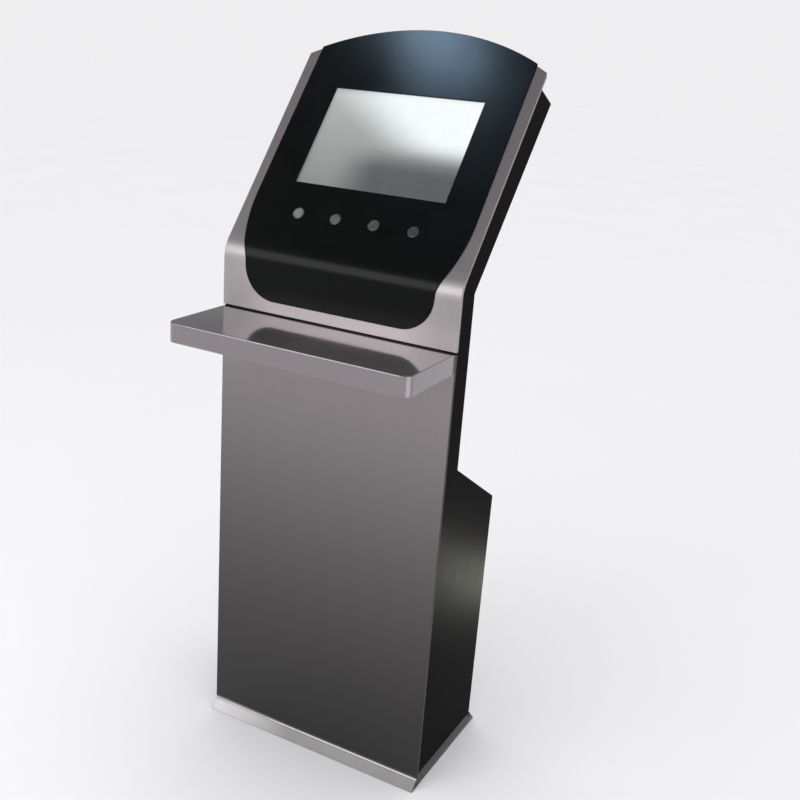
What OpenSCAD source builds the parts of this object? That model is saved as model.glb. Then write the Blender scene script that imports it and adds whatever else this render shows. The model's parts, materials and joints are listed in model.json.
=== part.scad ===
// Free-standing self-service kiosk: a folded sheet-steel cabinet with a leaning head,
// a display window and four push buttons in a rolled black bezel, and a keyboard shelf.
// Millimetres. +X is the kiosk's right as seen from the front, +Y its back, +Z up.
// The origin is the middle of the bounding box, on the floor.

/* [Body] */
// Width of the cabinet and of its front sheets
body_w = 520; // [480:1:560]
// Thickness of the steel sheets
sheet_t = 1.5; // [1.2:0.1:2]
// Depth of the lower cabinet behind the front face
cab_depth = 266; // [250:1:320]
// Depth of the narrow neck behind the front face
neck_depth = 65; // [60:1:80]
// Height where the neck meets the sloping shoulder
shoulder_z = 699; // [680:1:740]
// Height of the shoulder's lower, rear edge
shoulder_low_z = 573; // [560:1:590]
// Step from the edge of the front sheets in to the black side panels
side_inset = 3; // [2.5:0.1:5]
// Depth of the narrow flange that the front sheets turn back at each side
return_w = 7; // [5:0.5:12]

/* [Head] */
// Height of the line where the front face would break without its bend radius
kink_z = 1066; // [1040:1:1100]
// Lean of the face from the vertical, in degrees
slope_deg = 38; // [34:0.5:40]
// Outer radius of the rolled bend between the upright face and the slope
bend_r = 60; // [40:1:80]
// Length of the slope, from the break line up to the corners of the silver strips
slope_len = 470; // [450:1:500]
// Width of the face at those corners, a little more than at the bend
head_w = 528; // [520:1:540]
// Rise of the arched top above those corners
arch_rise = 73.5; // [50:0.5:90]
// Distance of the head box's top edge up the slope, behind the face plate
head_top_v = 440; // [425:1:450]
// Fall of the head box's top edge from the square of the slope, in degrees
cover_tilt = 13; // [8:1:18]
// Depth of the head box at its top end, square to the slope
head_depth = 83; // [78:1:100]
// Lean of the head's back from the vertical, in degrees
rear_deg = 40.7; // [40:0.1:42]

/* [Bezel] */
// Thickness of the black bezel sheet
bezel_t = 2; // [1.5:0.1:3]
// How far the bezel stands in from the body's sides on the slope
bezel_margin = 20; // [18:1:30]
// How far the bezel stands above the arched edge of the face sheet
bezel_lip = 3.5; // [0.5:0.5:6]
// How far each side of the bezel draws in under the bend
bezel_draw_in = 32.5; // [20:0.5:40]
// Height of the bezel's lower edge
bezel_low_z = 973; // [965:1:985]
// Radius of the bezel's lower corners
bezel_corner_r = 68; // [50:1:72]
// Where the bezel begins to narrow, along the face above the middle of the bend
bezel_taper_hi = 130; // [110:1:150]
// Where it is narrowest, along the face below the middle of the bend
bezel_taper_lo = 24; // [15:1:24]
// Radius of the long outward curve with which it narrows
bezel_shoulder_r = 318; // [260:1:330]

/* [Display] */
// Width of the window in the bezel
window_w = 330; // [300:1:345]
// Height of the window, along the slope
window_h = 226; // [200:1:235]
// Distance of the window's lower edge up the slope from the break line
window_v = 165; // [160:1:180]
// Thickness of the touch glass
glass_t = 3; // [2:0.5:4]
// Depth of the display's steel housing
display_depth = 42; // [34:1:44]

/* [Buttons] */
// Distance of the button row up the slope from the break line
button_v = 95.5; // [90:0.5:105]
// Distance between neighbouring buttons
button_pitch = 84.2; // [60:0.1:100]
// Diameter of the button's metal ring
button_ring_d = 25; // [24:0.5:28]
// Diameter of the moving button head
button_d = 20; // [16:0.5:20]
// Diameter of the threaded barrel behind the ring
button_barrel_d = 22; // [22:0.1:23]
// Travel of the button
button_travel = 2.5; // [1:0.1:3]

/* [Shelf] */
// Height of the shelf's top
shelf_z = 947; // [930:1:955]
// Reach of the shelf in front of the face
shelf_depth = 178; // [140:1:200]
// How far the shelf's ends stand in from the body's sides
shelf_inset = 2; // [1:1:25]
// Height of the shelf's turned-down edge
shelf_skirt = 38; // [30:1:50]
// Radius of the shelf's front corners
shelf_corner_r = 20; // [15:1:40]
// Thickness of the shelf sheet
shelf_t = 2; // [1.5:0.1:2.5]

/* [Base] */
// Height of the plinth
plinth_h = 27; // [24:1:40]
// Reach of the flare at the foot of the front sheet
flare_out = 19; // [12:1:24]
// Lean of that flare from the vertical, in degrees
flare_deg = 43; // [35:1:50]
// Radius of the hollow bend above the flare
flare_r = 14; // [8:1:18]
// Reach of the plinth's rear flare
rear_flare_out = 25; // [15:1:30]
// Diameter of the floor anchor holes
anchor_d = 12; // [9:0.5:14]
// Distance between the anchor holes across the kiosk
anchor_dx = 420; // [380:1:440]
// Distance between the anchor holes from front to back
anchor_dy = 170; // [140:1:190]

/* [Doors] */
// Height of the cabinet door's lower edge
door_low_z = 92; // [88:1:110]
// Height of the strip between the cabinet door and the shoulder
lintel_h = 24; // [20:1:30]
// Depth of the folded door pans
door_pan = 12; // [12:0.5:14]
// Radius of the door's folded hinge edge, which turns about the hinge pins
hinge_r = 6; // [5:0.5:6]
// Diameter of the hinge pins
hinge_pin_d = 5; // [4:0.5:6]
// Gap round the doors
door_gap = 1; // [0.8:0.1:1.5]
// Width of the frame bars behind the doors
door_bar = 20; // [18:1:26]
// Diameter of the lock barrels
lock_d = 18; // [16:1:19]

/* [Inside] */
// Height of the computer's tray
tray_z = 300; // [280:1:340]
// Size of the computer's case: across, front to back, up
computer_size = [250, 180, 62];
// Size of the power supply: across, front to back, up
supply_size = [160, 98, 40];
// Side of the cooling fan's square frame
fan_w = 120; // [110:1:122]
// Depth of the cooling fan
fan_t = 25; // [20:1:32]

/* [Hidden] */
$fn = 96;

// Colours of the finishes
silver = [0.56, 0.54, 0.55];
gloss_black = [0.07, 0.07, 0.08];
zinc = [0.72, 0.73, 0.74];
dark_plastic = [0.12, 0.12, 0.13];

// Clearances
seat = 0.2;
running = 0.05;

// The face line: upright, then round the bend, then up the slope
slope_sin = sin(slope_deg);
slope_cos = cos(slope_deg);
bend_tl = bend_r * tan(slope_deg / 2);
bend_zc = kink_z - bend_tl;
bend_arc = bend_r * slope_deg * PI / 180;

// The arched top, in the plane of the slope
arch_r = (pow(head_w / 2, 2) + pow(arch_rise, 2)) / (2 * arch_rise);
arch_cv = slope_len + arch_rise - arch_r;
crown_v = slope_len + arch_rise;
head_widen = (head_w - body_w) / 2 / (slope_len - bend_tl);

// Side panels
side_x = body_w / 2 - side_inset;
side_in = side_x - sheet_t;
flange_w = 15;

// The head box's arched top, in a frame that falls less steeply to the back than the slope's square.
// W runs up that frame and E back along it, both from the break line.
cover_w = head_top_v * cos(cover_tilt);
cover_r = arch_r;
cover_cw = cover_w + seat - sqrt(pow(cover_r - sheet_t, 2) - pow(side_x, 2));

// The head's back: from the knee above the neck up to the top rear corner
function slope_pt(v, d) = [v * slope_sin + d * slope_cos, kink_z + v * slope_cos - d * slope_sin];
function cover_v(d) = (cover_w + d * sin(cover_tilt)) / cos(cover_tilt);
head_corner = slope_pt(cover_v(head_depth), head_depth);
knee = [neck_depth, head_corner[1] - (head_corner[0] - neck_depth) / tan(rear_deg)];
rear_len = (head_corner[1] - knee[1]) / cos(rear_deg);
crown_rise = (cover_cw + cover_r - cover_w) / cos(rear_deg - slope_deg + cover_tilt);

// The shoulder: from the foot of the neck down to the top of the cabinet's back
shoulder_run = cab_depth - neck_depth;
shoulder_deg = atan2(shoulder_z - shoulder_low_z, shoulder_run);
shoulder_len = shoulder_run / cos(shoulder_deg);

// The kiosk's reach from front to back, which sets where the face line lies
crown_rear_y = head_corner[0] + crown_rise * sin(rear_deg);
face_y = (shelf_depth - crown_rear_y) / 2;

// Where the upper front sheet begins, above the shelf
shelf_gap = 3;
head_panel_z = shelf_z + shelf_gap;
fold_w = 12;

// Widths that follow the body
bezel_w = body_w - 2 * bezel_margin;
bezel_low_w = bezel_w - 2 * bezel_draw_in;
shelf_w = body_w - 2 * shelf_inset;

// The window and what lies behind it
window_mid_v = window_v + window_h / 2;
glass_margin = 12;
gasket_t = 0.8;
glass_w = window_w + 2 * glass_margin;
glass_h = window_h + 2 * glass_margin;
glass_d = gasket_t + glass_t;
display_margin = 10;
display_w = glass_w + 2 * display_margin;
display_h = glass_h + 2 * display_margin;
lcd_t = 11;

// Doors: the frame stands behind the pan, far enough for the hinge edge to turn
door_w = 2 * (side_in - door_gap);
frame_gap = 3;
frame_y = -door_pan - frame_gap;
door_top_z = shoulder_low_z - lintel_h;
head_sill_u = 26;
head_door_low_u = head_sill_u + door_gap;
head_door_top_u = rear_len - 26;
hinge_x = -door_w / 2 + hinge_r;
hinge_arm_t = 2.5;
hinge_notch = hinge_arm_t + 2;
lock_x = door_w / 2 - door_bar - 15;
lock_head_t = 2.5;
lock_head_r = lock_d / 2 + 2.5;
lock_plug_r = 6;
cam_t = 2;
cam_gap = 1;
cam_y = frame_y - sheet_t - cam_gap;
cam_len = 27;
cam_w = 13;
cabinet_lock_z = (door_low_z + door_top_z) / 2;
head_lock_u = (head_door_low_u + head_door_top_u) / 2;

// Vents
slot_w = 3.5;
slot_pitch = 9;
side_vent_l = 110;
side_vent_x = side_in - side_vent_l / 2 - 35.5;

// Places

// From the face line's own frame to the kiosk's
module at_face() translate([0, face_y, 0]) children();

// From the centre line of the face's bend
module at_bend() translate([0, face_y + bend_r, bend_zc]) children();

// X across, Y into the head square to the slope, Z up the slope from the break line
module on_slope() at_bend() rotate([-slope_deg, 0, 0]) translate([0, -bend_r, -bend_tl]) children();

// X across, Y back along the head box's top, Z square to that
module on_cover() translate([0, face_y, kink_z]) rotate([cover_tilt - slope_deg, 0, 0]) children();

// X across, Y out of the head's back, Z up the head's back from the knee
module on_head_back() translate([0, face_y + knee[0], knee[1]]) rotate([-rear_deg, 0, 0]) children();

// X across, Y out of the cabinet's back, Z up
module on_cabinet_back() translate([0, face_y + cab_depth, 0]) children();

// X across, Y down the shoulder, Z out of it
module on_shoulder() translate([0, face_y + neck_depth, shoulder_z]) rotate([-shoulder_deg, 0, 0])
    children();

// A section in Y and Z, drawn out along X from x0 to x1
module along_x(x0, x1) translate([x0, 0, 0]) rotate([90, 0, 90]) linear_extrude(x1 - x0) children();

// An outline in X and Z, drawn out along Y from y0 to y1
module along_y(y0, y1) translate([0, y1, 0]) rotate([90, 0, 0]) linear_extrude(y1 - y0) children();

// A block given by its lowest and highest corners
module block(a, b) translate(a) cube(b - a);

// The same piece on both sides
module both_sides() for (m = [0, 1]) mirror([m, 0, 0]) children();

// Shared shapes

// Section of a sheet that follows the face line from z_lo up to v_hi on the slope, seen from the
// centre of the bend. Its outer face stands front before the face line.
module bent_section(front, t, z_lo, v_hi) {
    r = bend_r + front;
    reach = 4 * r;
    translate([-r, z_lo - bend_zc]) square([t, bend_zc - z_lo]);
    intersection() {
        difference() {
            circle(r);
            circle(r - t);
        }
        translate([-reach, 0]) square([2 * reach, reach]);
        rotate(-slope_deg) translate([-reach, -reach]) square([2 * reach, reach]);
    }
    rotate(-slope_deg) translate([-r, 0]) square([t, v_hi - bend_tl]);
}

// Outline of a folded sheet. Its outer face follows the path, and its thickness t lies on the
// path's left, with mitred corners.
function left_of(a, b) = [a[1] - b[1], b[0] - a[0]] / norm(b - a);
function fold_corner(path, i) =
    let(
        before = left_of(path[max(0, i - 1)], path[max(1, i)]),
        after = left_of(path[min(i, len(path) - 2)], path[min(i + 1, len(path) - 1)])
    )
    (before + after) / (1 + before * after);
function folded(path, t) = concat(path, [for (i = [len(path) - 1:-1:0])
    path[i] + t * fold_corner(path, i)]);

// Outline of width w under an arch of radius r about the height c, from v_lo up
module arch_outline(w, r, c, v_lo) {
    intersection() {
        translate([-w / 2, v_lo]) square([w, crown_v + 100 - v_lo]);
        union() {
            translate([0, c]) circle(r, $fn = 256);
            translate([-w / 2, v_lo - 1]) square([w, max(1, c - v_lo) + 1]);
        }
    }
}

// Half width of the face sheet up the slope
function face_half(v) = body_w / 2 + (v - bend_tl) * head_widen;

// Height of a point of the face line, given by its arc length from the middle of the bend
function face_z(s) =
    s > bend_arc / 2 ? kink_z + (bend_tl + s - bend_arc / 2) * slope_cos :
    s < -bend_arc / 2 ? bend_zc + s + bend_arc / 2 :
    bend_zc + bend_r * sin((s + bend_arc / 2) / bend_r * 180 / PI);

// Half width of the bezel along the same line: a long outward arc runs into a short inward one
bezel_drop = (bezel_w - bezel_low_w) / 2;
bezel_fall = bezel_taper_hi + bezel_taper_lo;
bezel_radii = (pow(bezel_drop, 2) + pow(bezel_fall, 2)) / (2 * bezel_drop);
bezel_waist_r = bezel_radii - bezel_shoulder_r;
bezel_turn = bezel_taper_hi - bezel_fall * bezel_shoulder_r / bezel_radii;
function bezel_half(s) =
    s > bezel_turn ? bezel_w / 2 - bezel_shoulder_r
        + sqrt(pow(bezel_shoulder_r, 2) - pow(max(0, bezel_taper_hi - s), 2)) :
    bezel_low_w / 2 + bezel_waist_r - sqrt(pow(bezel_waist_r, 2) - pow(s + bezel_taper_lo, 2));

// One side of the bezel's lower outline, from the taper's top down to the middle of its foot
taper_steps = 26;
corner_steps = 12;
bezel_side = concat(
    [for (i = [0:taper_steps])
        let(s = bezel_taper_hi - bezel_fall * i / taper_steps)
        [bezel_half(s), face_z(s)]],
    [for (i = [0:corner_steps])
        let(a = 90 * i / corner_steps)
        [bezel_low_w / 2 - bezel_corner_r * (1 - cos(a)), bezel_low_z + bezel_corner_r * (1 - sin(a))]]
);

// A slot with round ends, lying along X
module slot(len, w) {
    square([len - w, w], center = true);
    for (s = [-1, 1]) translate([s * (len - w) / 2, 0]) circle(w / 2, $fn = 24);
}

// A field of vent slots, centred
module slot_field(columns, rows, len) {
    for (i = [0:columns - 1], j = [0:rows - 1])
        translate([(i - (columns - 1) / 2) * (len + slot_pitch), (j - (rows - 1) / 2) * slot_pitch])
            slot(len, slot_w);
}

// Places of the four buttons across the kiosk
button_xs = [for (i = [0:3]) (i - 1.5) * button_pitch];

// Base

flare_top = flare_out / tan(flare_deg);

// Section of an upright sheet whose foot bends outwards, towards -Y, down to the floor
module flared_section(t, out, z_hi) {
    reach = 4 * flare_r;
    bend_h = out / tan(flare_deg) + flare_r * tan(flare_deg / 2);
    intersection() {
        translate([-flare_r, bend_h]) union() {
            translate([flare_r, 0]) square([t, z_hi - bend_h]);
            intersection() {
                difference() {
                    circle(flare_r + t);
                    circle(flare_r);
                }
                translate([0, -reach]) square(reach);
                rotate(-flare_deg) translate([-reach, 0]) square([2 * reach, reach]);
            }
            rotate(-flare_deg) translate([flare_r, -3 * out]) square([t, 3 * out]);
        }
        translate([-3 * out, 0]) square([6 * out, z_hi]);
    }
}

// Section through a side of the plinth: a low upright edge, then a lean in to the side panel
plinth_edge_h = 10;
plinth_side = [
    [body_w / 2, 0],
    [body_w / 2, plinth_edge_h],
    [side_x + 0.5, plinth_h],
    [side_x - flange_w, plinth_h],
    [side_x - flange_w, plinth_h - sheet_t],
    [side_x + 0.5 - sheet_t, plinth_h - sheet_t],
    [body_w / 2 - sheet_t, plinth_edge_h - 0.5],
    [body_w / 2 - sheet_t, 0]
];
base_t = 2;
plinth_y0 = sheet_t + seat;
cable_slot = [120, 50];
cable_slot_y = cab_depth - 60;
anchor_y = cab_depth / 2;

module plinth() {
    color(silver) at_face() difference() {
        union() {
            both_sides() translate([0, cab_depth, 0]) rotate([90, 0, 0])
                linear_extrude(cab_depth - plinth_y0) polygon(plinth_side);
            block([-body_w / 2 + sheet_t, plinth_y0, 0], [body_w / 2 - sheet_t, cab_depth, base_t]);
            block([-side_x, plinth_y0, 0], [side_x, plinth_y0 + sheet_t, plinth_h]);
            translate([0, cab_depth - sheet_t, 0]) mirror([0, 1, 0]) translate([0, -sheet_t, 0])
                along_x(-body_w / 2, body_w / 2) flared_section(sheet_t, rear_flare_out, plinth_h);
            both_sides() translate([0, cab_depth, 0]) along_x(body_w / 2 - sheet_t, body_w / 2)
                polygon([[-1, 0], [rear_flare_out - sheet_t, 0], [-1, rear_flare_out / tan(flare_deg)]]);
        }
        for (x = [-1, 1], y = [-1, 1])
            translate([x * anchor_dx / 2, anchor_y + y * anchor_dy / 2, -1])
                cylinder(h = base_t + 2, d = anchor_d);
        translate([0, cable_slot_y, 0])
            block([-cable_slot[0] / 2, -cable_slot[1] / 2, -1],
                [cable_slot[0] / 2, cable_slot[1] / 2, base_t + 1]);
    }
}

// Front sheets

fold_half = side_in - flange_w - 1;

module lower_front_panel() {
    top = shelf_z - shelf_t;
    color(silver) at_face() {
        along_x(-body_w / 2, body_w / 2) flared_section(sheet_t, flare_out, top);
        block([-fold_half, 0, top - sheet_t], [fold_half, fold_w, top]);
        both_sides() {
            block([body_w / 2 - sheet_t, 0, plinth_h + 1], [body_w / 2, return_w, top]);
            along_x(body_w / 2 - sheet_t, body_w / 2)
                polygon([[sheet_t, 0], [sheet_t, flare_top], [0, flare_top], [sheet_t - flare_out, 0]]);
        }
    }
}

module head_front_panel() {
    v_mid = bend_tl + 2;
    v_top = crown_v + 5;
    v_return = slope_len - 4;
    color(silver) difference() {
        union() {
            at_bend() {
                along_x(-body_w / 2, body_w / 2) bent_section(0, sheet_t, head_panel_z, v_mid);
                both_sides() along_x(body_w / 2 - sheet_t, body_w / 2)
                    bent_section(0, return_w, head_panel_z, v_mid);
            }
            at_face() block([-fold_half, 0, head_panel_z], [fold_half, fold_w, head_panel_z + sheet_t]);
            on_slope() {
                along_y(0, sheet_t) intersection() {
                    arch_outline(head_w + 20, arch_r, arch_cv, bend_tl);
                    polygon([
                        [-body_w / 2, bend_tl],
                        [body_w / 2, bend_tl],
                        [face_half(v_top), v_top],
                        [-face_half(v_top), v_top]
                    ]);
                }
                both_sides() along_y(0, return_w) polygon([
                    [body_w / 2 - sheet_t, bend_tl],
                    [body_w / 2, bend_tl],
                    [face_half(v_return), v_return],
                    [face_half(v_return) - sheet_t, v_return]
                ]);
            }
        }
        on_slope() {
            block([-display_w / 2, -1, window_mid_v - display_h / 2],
                [display_w / 2, sheet_t + 1, window_mid_v + display_h / 2]);
            for (x = button_xs) translate([x, sheet_t + 1, button_v]) rotate([90, 0, 0])
                cylinder(h = sheet_t + 2, d = button_barrel_d + 2 * seat);
        }
    }
}

module bezel() {
    taper_v = bend_tl + bezel_taper_hi - bend_arc / 2;
    reach = window_w / 2;
    color(gloss_black) difference() {
        intersection() {
            at_bend() along_x(-bezel_w / 2, bezel_w / 2)
                bent_section(bezel_t, bezel_t, bezel_low_z, crown_v + 10);
            union() {
                on_slope() along_y(-reach, reach)
                    arch_outline(bezel_w + 18, arch_r + bezel_lip, arch_cv, taper_v);
                at_face() both_sides() along_y(-reach, reach) polygon(concat(
                    [[-1, kink_z + (taper_v + 30) * slope_cos],
                        [bezel_w / 2 + 9, kink_z + (taper_v + 30) * slope_cos]],
                    [[bezel_w / 2 + 0.05, face_z(bezel_taper_hi)]],
                    [for (i = [1:len(bezel_side) - 1]) bezel_side[i]], [[-1, bezel_low_z]]));
            }
        }
        on_slope() {
            block([-window_w / 2, -bezel_t - 1, window_v], [window_w / 2, 1, window_v + window_h]);
            for (x = button_xs) translate([x, 1, button_v]) rotate([90, 0, 0])
                cylinder(h = bezel_t + 2, d = button_barrel_d + 2 * seat);
        }
    }
}

// Keyboard shelf

shelf_tongue = 42;
rail_h = 40;
shelf_bracket_in = 75;

// Plan of the shelf, inset by e
module shelf_plan(e) {
    w = shelf_w - 2 * e;
    r = shelf_corner_r - e;
    d = shelf_depth - e;
    translate([-w / 2, -d + r]) square([w, d - r]);
    translate([-w / 2 + r, -d]) square([w - 2 * r, d]);
    for (s = [-1, 1]) translate([s * (w / 2 - r), -d + r]) circle(r);
}

module keyboard_shelf() {
    tongue_w = 2 * side_in - 2 * flange_w - 10;
    color(silver) at_face() {
        difference() {
            translate([0, 0, shelf_z - shelf_skirt]) linear_extrude(shelf_skirt) shelf_plan(0);
            translate([0, 0, shelf_z - shelf_skirt - 1]) linear_extrude(shelf_skirt - shelf_t + 1) union() {
                shelf_plan(shelf_t);
                translate([-shelf_w / 2 + shelf_t, -1]) square([shelf_w - 2 * shelf_t, 2]);
            }
        }
        block([-tongue_w / 2, -1, shelf_z - shelf_t], [tongue_w / 2, shelf_tongue, shelf_z]);
    }
}

// Two gussets under the shelf, screwed to the front sheet and the rail behind it
module shelf_brackets() {
    arm_h = shelf_skirt - 8;
    arm_l = shelf_depth - 40;
    top = shelf_z - shelf_t;
    color(zinc) at_face() both_sides() translate([shelf_w / 2 - shelf_bracket_in, 0, 0]) {
        along_x(-1, 1) polygon([[0, top], [-arm_l, top], [-arm_l, top - 10], [-14, top - arm_h],
            [0, top - arm_h]]);
        block([-1, -arm_l, top - sheet_t], [14, 0, top]);
        block([-1, -sheet_t, top - arm_h], [14, 0, top]);
    }
}

// Channel between the side panels that carries the shelf
module shelf_rail() {
    top = shelf_z - shelf_t;
    color(zinc) at_face() difference() {
        block([-side_in + seat, fold_w + 1, top - rail_h], [side_in - seat, shelf_tongue, top]);
        block([-side_in - 1, fold_w + 1 + sheet_t, top - rail_h - 1],
            [side_in + 1, shelf_tongue - sheet_t, top - sheet_t]);
    }
}

// Cabinet panels

side_outline = concat(
    [[sheet_t, plinth_h]],
    [for (i = [0:8])
        let(a = slope_deg * i / 8, r = bend_r - sheet_t)
        [bend_r - r * cos(a), bend_zc + r * sin(a)]],
    [
        slope_pt(cover_v(sheet_t), sheet_t),
        head_corner,
        knee,
        [neck_depth, shoulder_z],
        [cab_depth, shoulder_low_z],
        [cab_depth, plinth_h]
    ]
);

flange_y = sheet_t + seat;

// A side panel with its inner flanges, on the +X side
module side_panel() {
    color(gloss_black) {
        at_face() {
            along_x(side_in, side_x) polygon(side_outline);
            block([side_in - flange_w, flange_y, plinth_h],
                [side_in + 0.5, flange_y + sheet_t, bend_zc - 10]);
            block([side_in - flange_w, flange_y, plinth_h],
                [side_in + 0.5, cab_depth - door_pan - 30, plinth_h + sheet_t]);
        }
        on_slope() block([side_in - flange_w, flange_y, bend_tl + 10],
            [side_in + 0.5, flange_y + sheet_t, window_v - 20]);
    }
}

module side_panel_right() side_panel();
module side_panel_left() mirror([1, 0, 0]) side_panel();

// Arched cap of the head: the rolled top sheet and the plate that closes it behind
module head_top_cover() {
    color(gloss_black) difference() {
        union() {
            on_cover() along_y(0, 400) difference() {
                arch_outline(2 * side_x, cover_r, cover_cw, 300);
                arch_outline(2 * side_x + 2, cover_r - sheet_t, cover_cw, 200);
            }
            intersection() {
                on_cover() along_y(0, 400)
                    arch_outline(2 * side_in - 2 * seat, cover_r - 0.5, cover_cw, 100);
                on_head_back() block([-side_x, -sheet_t, head_door_top_u + door_gap],
                    [side_x, 0, rear_len + 200]);
            }
            on_head_back() block([-side_in + seat, -door_pan - frame_gap, head_door_top_u + door_gap],
                [side_in - seat, 0, head_door_top_u + door_gap + sheet_t]);
        }
        on_slope() block([-body_w, -400, -400], [body_w, sheet_t, 800]);
        on_head_back() block([-body_w, 0, -100], [body_w, 400, rear_len + 400]);
    }
}

// A point of the head's back in the side view: out square to it, u up from the knee
function head_back_pt(out, u) =
    knee + [out * cos(rear_deg) + u * sin(rear_deg), u * cos(rear_deg) - out * sin(rear_deg)];

// The narrow back of the neck, bent at the knee and folded in to form the head door's sill
module neck_panel() {
    w = side_in - seat;
    color(gloss_black) at_face() {
        along_x(-w, w) polygon(folded([
            [neck_depth, shoulder_z + 1],
            knee,
            head_back_pt(0, head_sill_u),
            head_back_pt(frame_y, head_sill_u)
        ], sheet_t));
        both_sides() block([w - sheet_t, neck_depth - flange_w, shoulder_z + 20],
            [w, neck_depth, knee[1] - 20]);
    }
}

// The sloping shoulder with its vents, folded down and in to form the lintel over the cabinet door
module shoulder_panel() {
    w = side_in - seat;
    fan_y = shoulder_len / 2;
    lintel_z = door_top_z + door_gap;
    color(gloss_black) difference() {
        at_face() along_x(-w, w) polygon(folded([
            [cab_depth + frame_y, lintel_z],
            [cab_depth, lintel_z],
            [cab_depth, shoulder_low_z],
            [neck_depth, shoulder_z]
        ], sheet_t));
        on_shoulder() {
            translate([0, fan_y, -sheet_t - 1]) linear_extrude(sheet_t + 2) fan_slots();
            for (s = [-1, 1]) translate([s * side_vent_x, fan_y, -sheet_t - 1]) linear_extrude(sheet_t + 2)
                slot_field(1, 9, side_vent_l);
            for (x = [-1, 1], y = [-1, 1])
                translate([x * fan_hole_dx, fan_y + y * fan_hole_dx, -sheet_t - 1])
                    cylinder(h = sheet_t + 2, r = 2.2);
        }
    }
}

// The strip under the cabinet door, which holds the mains inlet
inlet_x = 150;
inlet_z = (plinth_h + door_low_z) / 2 + 1;
inlet_w = 27.5;
inlet_h = 20;
inlet_face_w = 50;

module rear_sill() {
    w = side_in - seat;
    sill_z = door_low_z - door_gap;
    color(gloss_black) difference() {
        at_face() along_x(-w, w) polygon(folded([
            [cab_depth, plinth_h + seat],
            [cab_depth, sill_z],
            [cab_depth + frame_y, sill_z]
        ], sheet_t));
        on_cabinet_back() block([inlet_x - inlet_w / 2 - seat, -sheet_t - 1, inlet_z - inlet_h / 2 - seat],
            [inlet_x + inlet_w / 2 + seat, 1, inlet_z + inlet_h / 2 + seat]);
    }
}

// Doors, drawn for either back: X across, Y out, Z up

// Frame bars behind a door, from z0 to z1, with a lip that meets the side panels
module door_frame(z0, z1) {
    w = side_in - seat;
    difference() {
        block([-w, frame_y - sheet_t, z0], [w, frame_y, z1]);
        block([-w + door_bar, frame_y - sheet_t - 1, z0 + door_bar],
            [w - door_bar, frame_y + 1, z1 - door_bar]);
    }
    both_sides() block([w - sheet_t, frame_y - flange_w, z0 + 5], [w, frame_y, z1 - 5]);
}

// Plan of a door pan, with its hinge edge rolled about the pins
module door_plan(e) {
    half = door_w / 2;
    translate([hinge_x, -door_pan]) square([half - e - hinge_x, door_pan - e]);
    translate([-half + e, -door_pan]) square([hinge_r - e, door_pan - hinge_r]);
    translate([hinge_x, -hinge_r]) circle(hinge_r - e);
}

// A door pan from z0 to z1, with pin holes, hinge notches and a lock hole
module door_pan_shape(z0, z1, lock_z) {
    difference() {
        translate([0, 0, z0]) linear_extrude(z1 - z0) door_plan(0);
        translate([0, 0, z0 + sheet_t]) linear_extrude(z1 - z0 - 2 * sheet_t) union() {
            door_plan(sheet_t);
            translate([-door_w / 2 + sheet_t, -door_pan - 1]) square([door_w - 2 * sheet_t, 2]);
        }
        for (z = [z0 + sheet_t, z1 - sheet_t - hinge_notch])
            block([-door_w, -door_pan - 1, z], [hinge_x - 1.8, 1, z + hinge_notch]);
        for (z = [z0 - 1, z1 - sheet_t - 1])
            translate([hinge_x, -hinge_r, z]) cylinder(h = sheet_t + 2, d = hinge_pin_d + 2 * running);
        translate([lock_x, 1, lock_z]) rotate([90, 0, 0]) cylinder(h = sheet_t + 2, d = lock_d + 2 * seat);
    }
}

// The two arms on a door frame that carry the hinge pins
module hinge_arms(z0, z1) {
    pin_out = door_gap - 0.3;
    arm_r = hinge_r - sheet_t - 0.5;
    for (end = [0, 1]) {
        z_arm = end == 0 ? z0 + sheet_t + 1 : z1 - sheet_t - 1 - hinge_arm_t;
        z_pin = end == 0 ? z0 - pin_out : z_arm;
        translate([hinge_x, 0, z_arm]) linear_extrude(hinge_arm_t) {
            translate([-arm_r, frame_y]) square([2 * arm_r, -frame_y - hinge_r]);
            translate([0, -hinge_r]) circle(arm_r);
        }
        translate([hinge_x, -hinge_r, z_pin])
            cylinder(h = hinge_arm_t + 1 + sheet_t + pin_out, d = hinge_pin_d);
    }
}

// Foam strip between a door pan and its frame, along three sides
module door_seal(z0, z1) {
    x0 = -door_w / 2 + 24;
    x1 = door_w / 2;
    strip = 6;
    difference() {
        block([x0, frame_y, z0 + 0.5], [x1, -door_pan - 0.3, z1 - 0.5]);
        block([x0 - 1, frame_y - 1, z0 + strip], [x1 - strip, -door_pan + 1, z1 - strip]);
    }
}

// The fixed barrel of a lock: head outside, nut inside
module lock_barrel(z) {
    translate([lock_x, 0, z]) rotate([90, 0, 0]) difference() {
        union() {
            translate([0, 0, -lock_head_t]) cylinder(h = lock_head_t, r = lock_head_r);
            cylinder(h = -cam_y - 0.5, d = lock_d);
            translate([0, 0, sheet_t]) cylinder(h = 4, d = lock_d + 8, $fn = 6);
        }
        translate([0, 0, -lock_head_t - 1]) cylinder(h = 60, r = lock_plug_r + running);
    }
}

// The turning part of a lock: plug with its key slot, and the cam, which hangs down when unlocked
module lock_turning(z) {
    translate([lock_x, 0, z]) {
        difference() {
            translate([0, lock_head_t, 0]) rotate([90, 0, 0])
                cylinder(h = lock_head_t - cam_y + cam_t, r = lock_plug_r);
            block([-0.8, lock_head_t - 3, -4], [0.8, lock_head_t + 1, 4]);
        }
        translate([0, cam_y, 0]) rotate([90, 0, 0]) linear_extrude(cam_t) {
            circle(cam_w / 2);
            translate([-cam_w / 2, -cam_len + cam_w / 2]) square([cam_w, cam_len - cam_w / 2]);
            translate([0, -cam_len + cam_w / 2]) circle(cam_w / 2);
        }
        translate([0, cam_y - cam_t, 0]) rotate([90, 0, 0]) cylinder(h = 3, d = 9, $fn = 6);
    }
}

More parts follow.
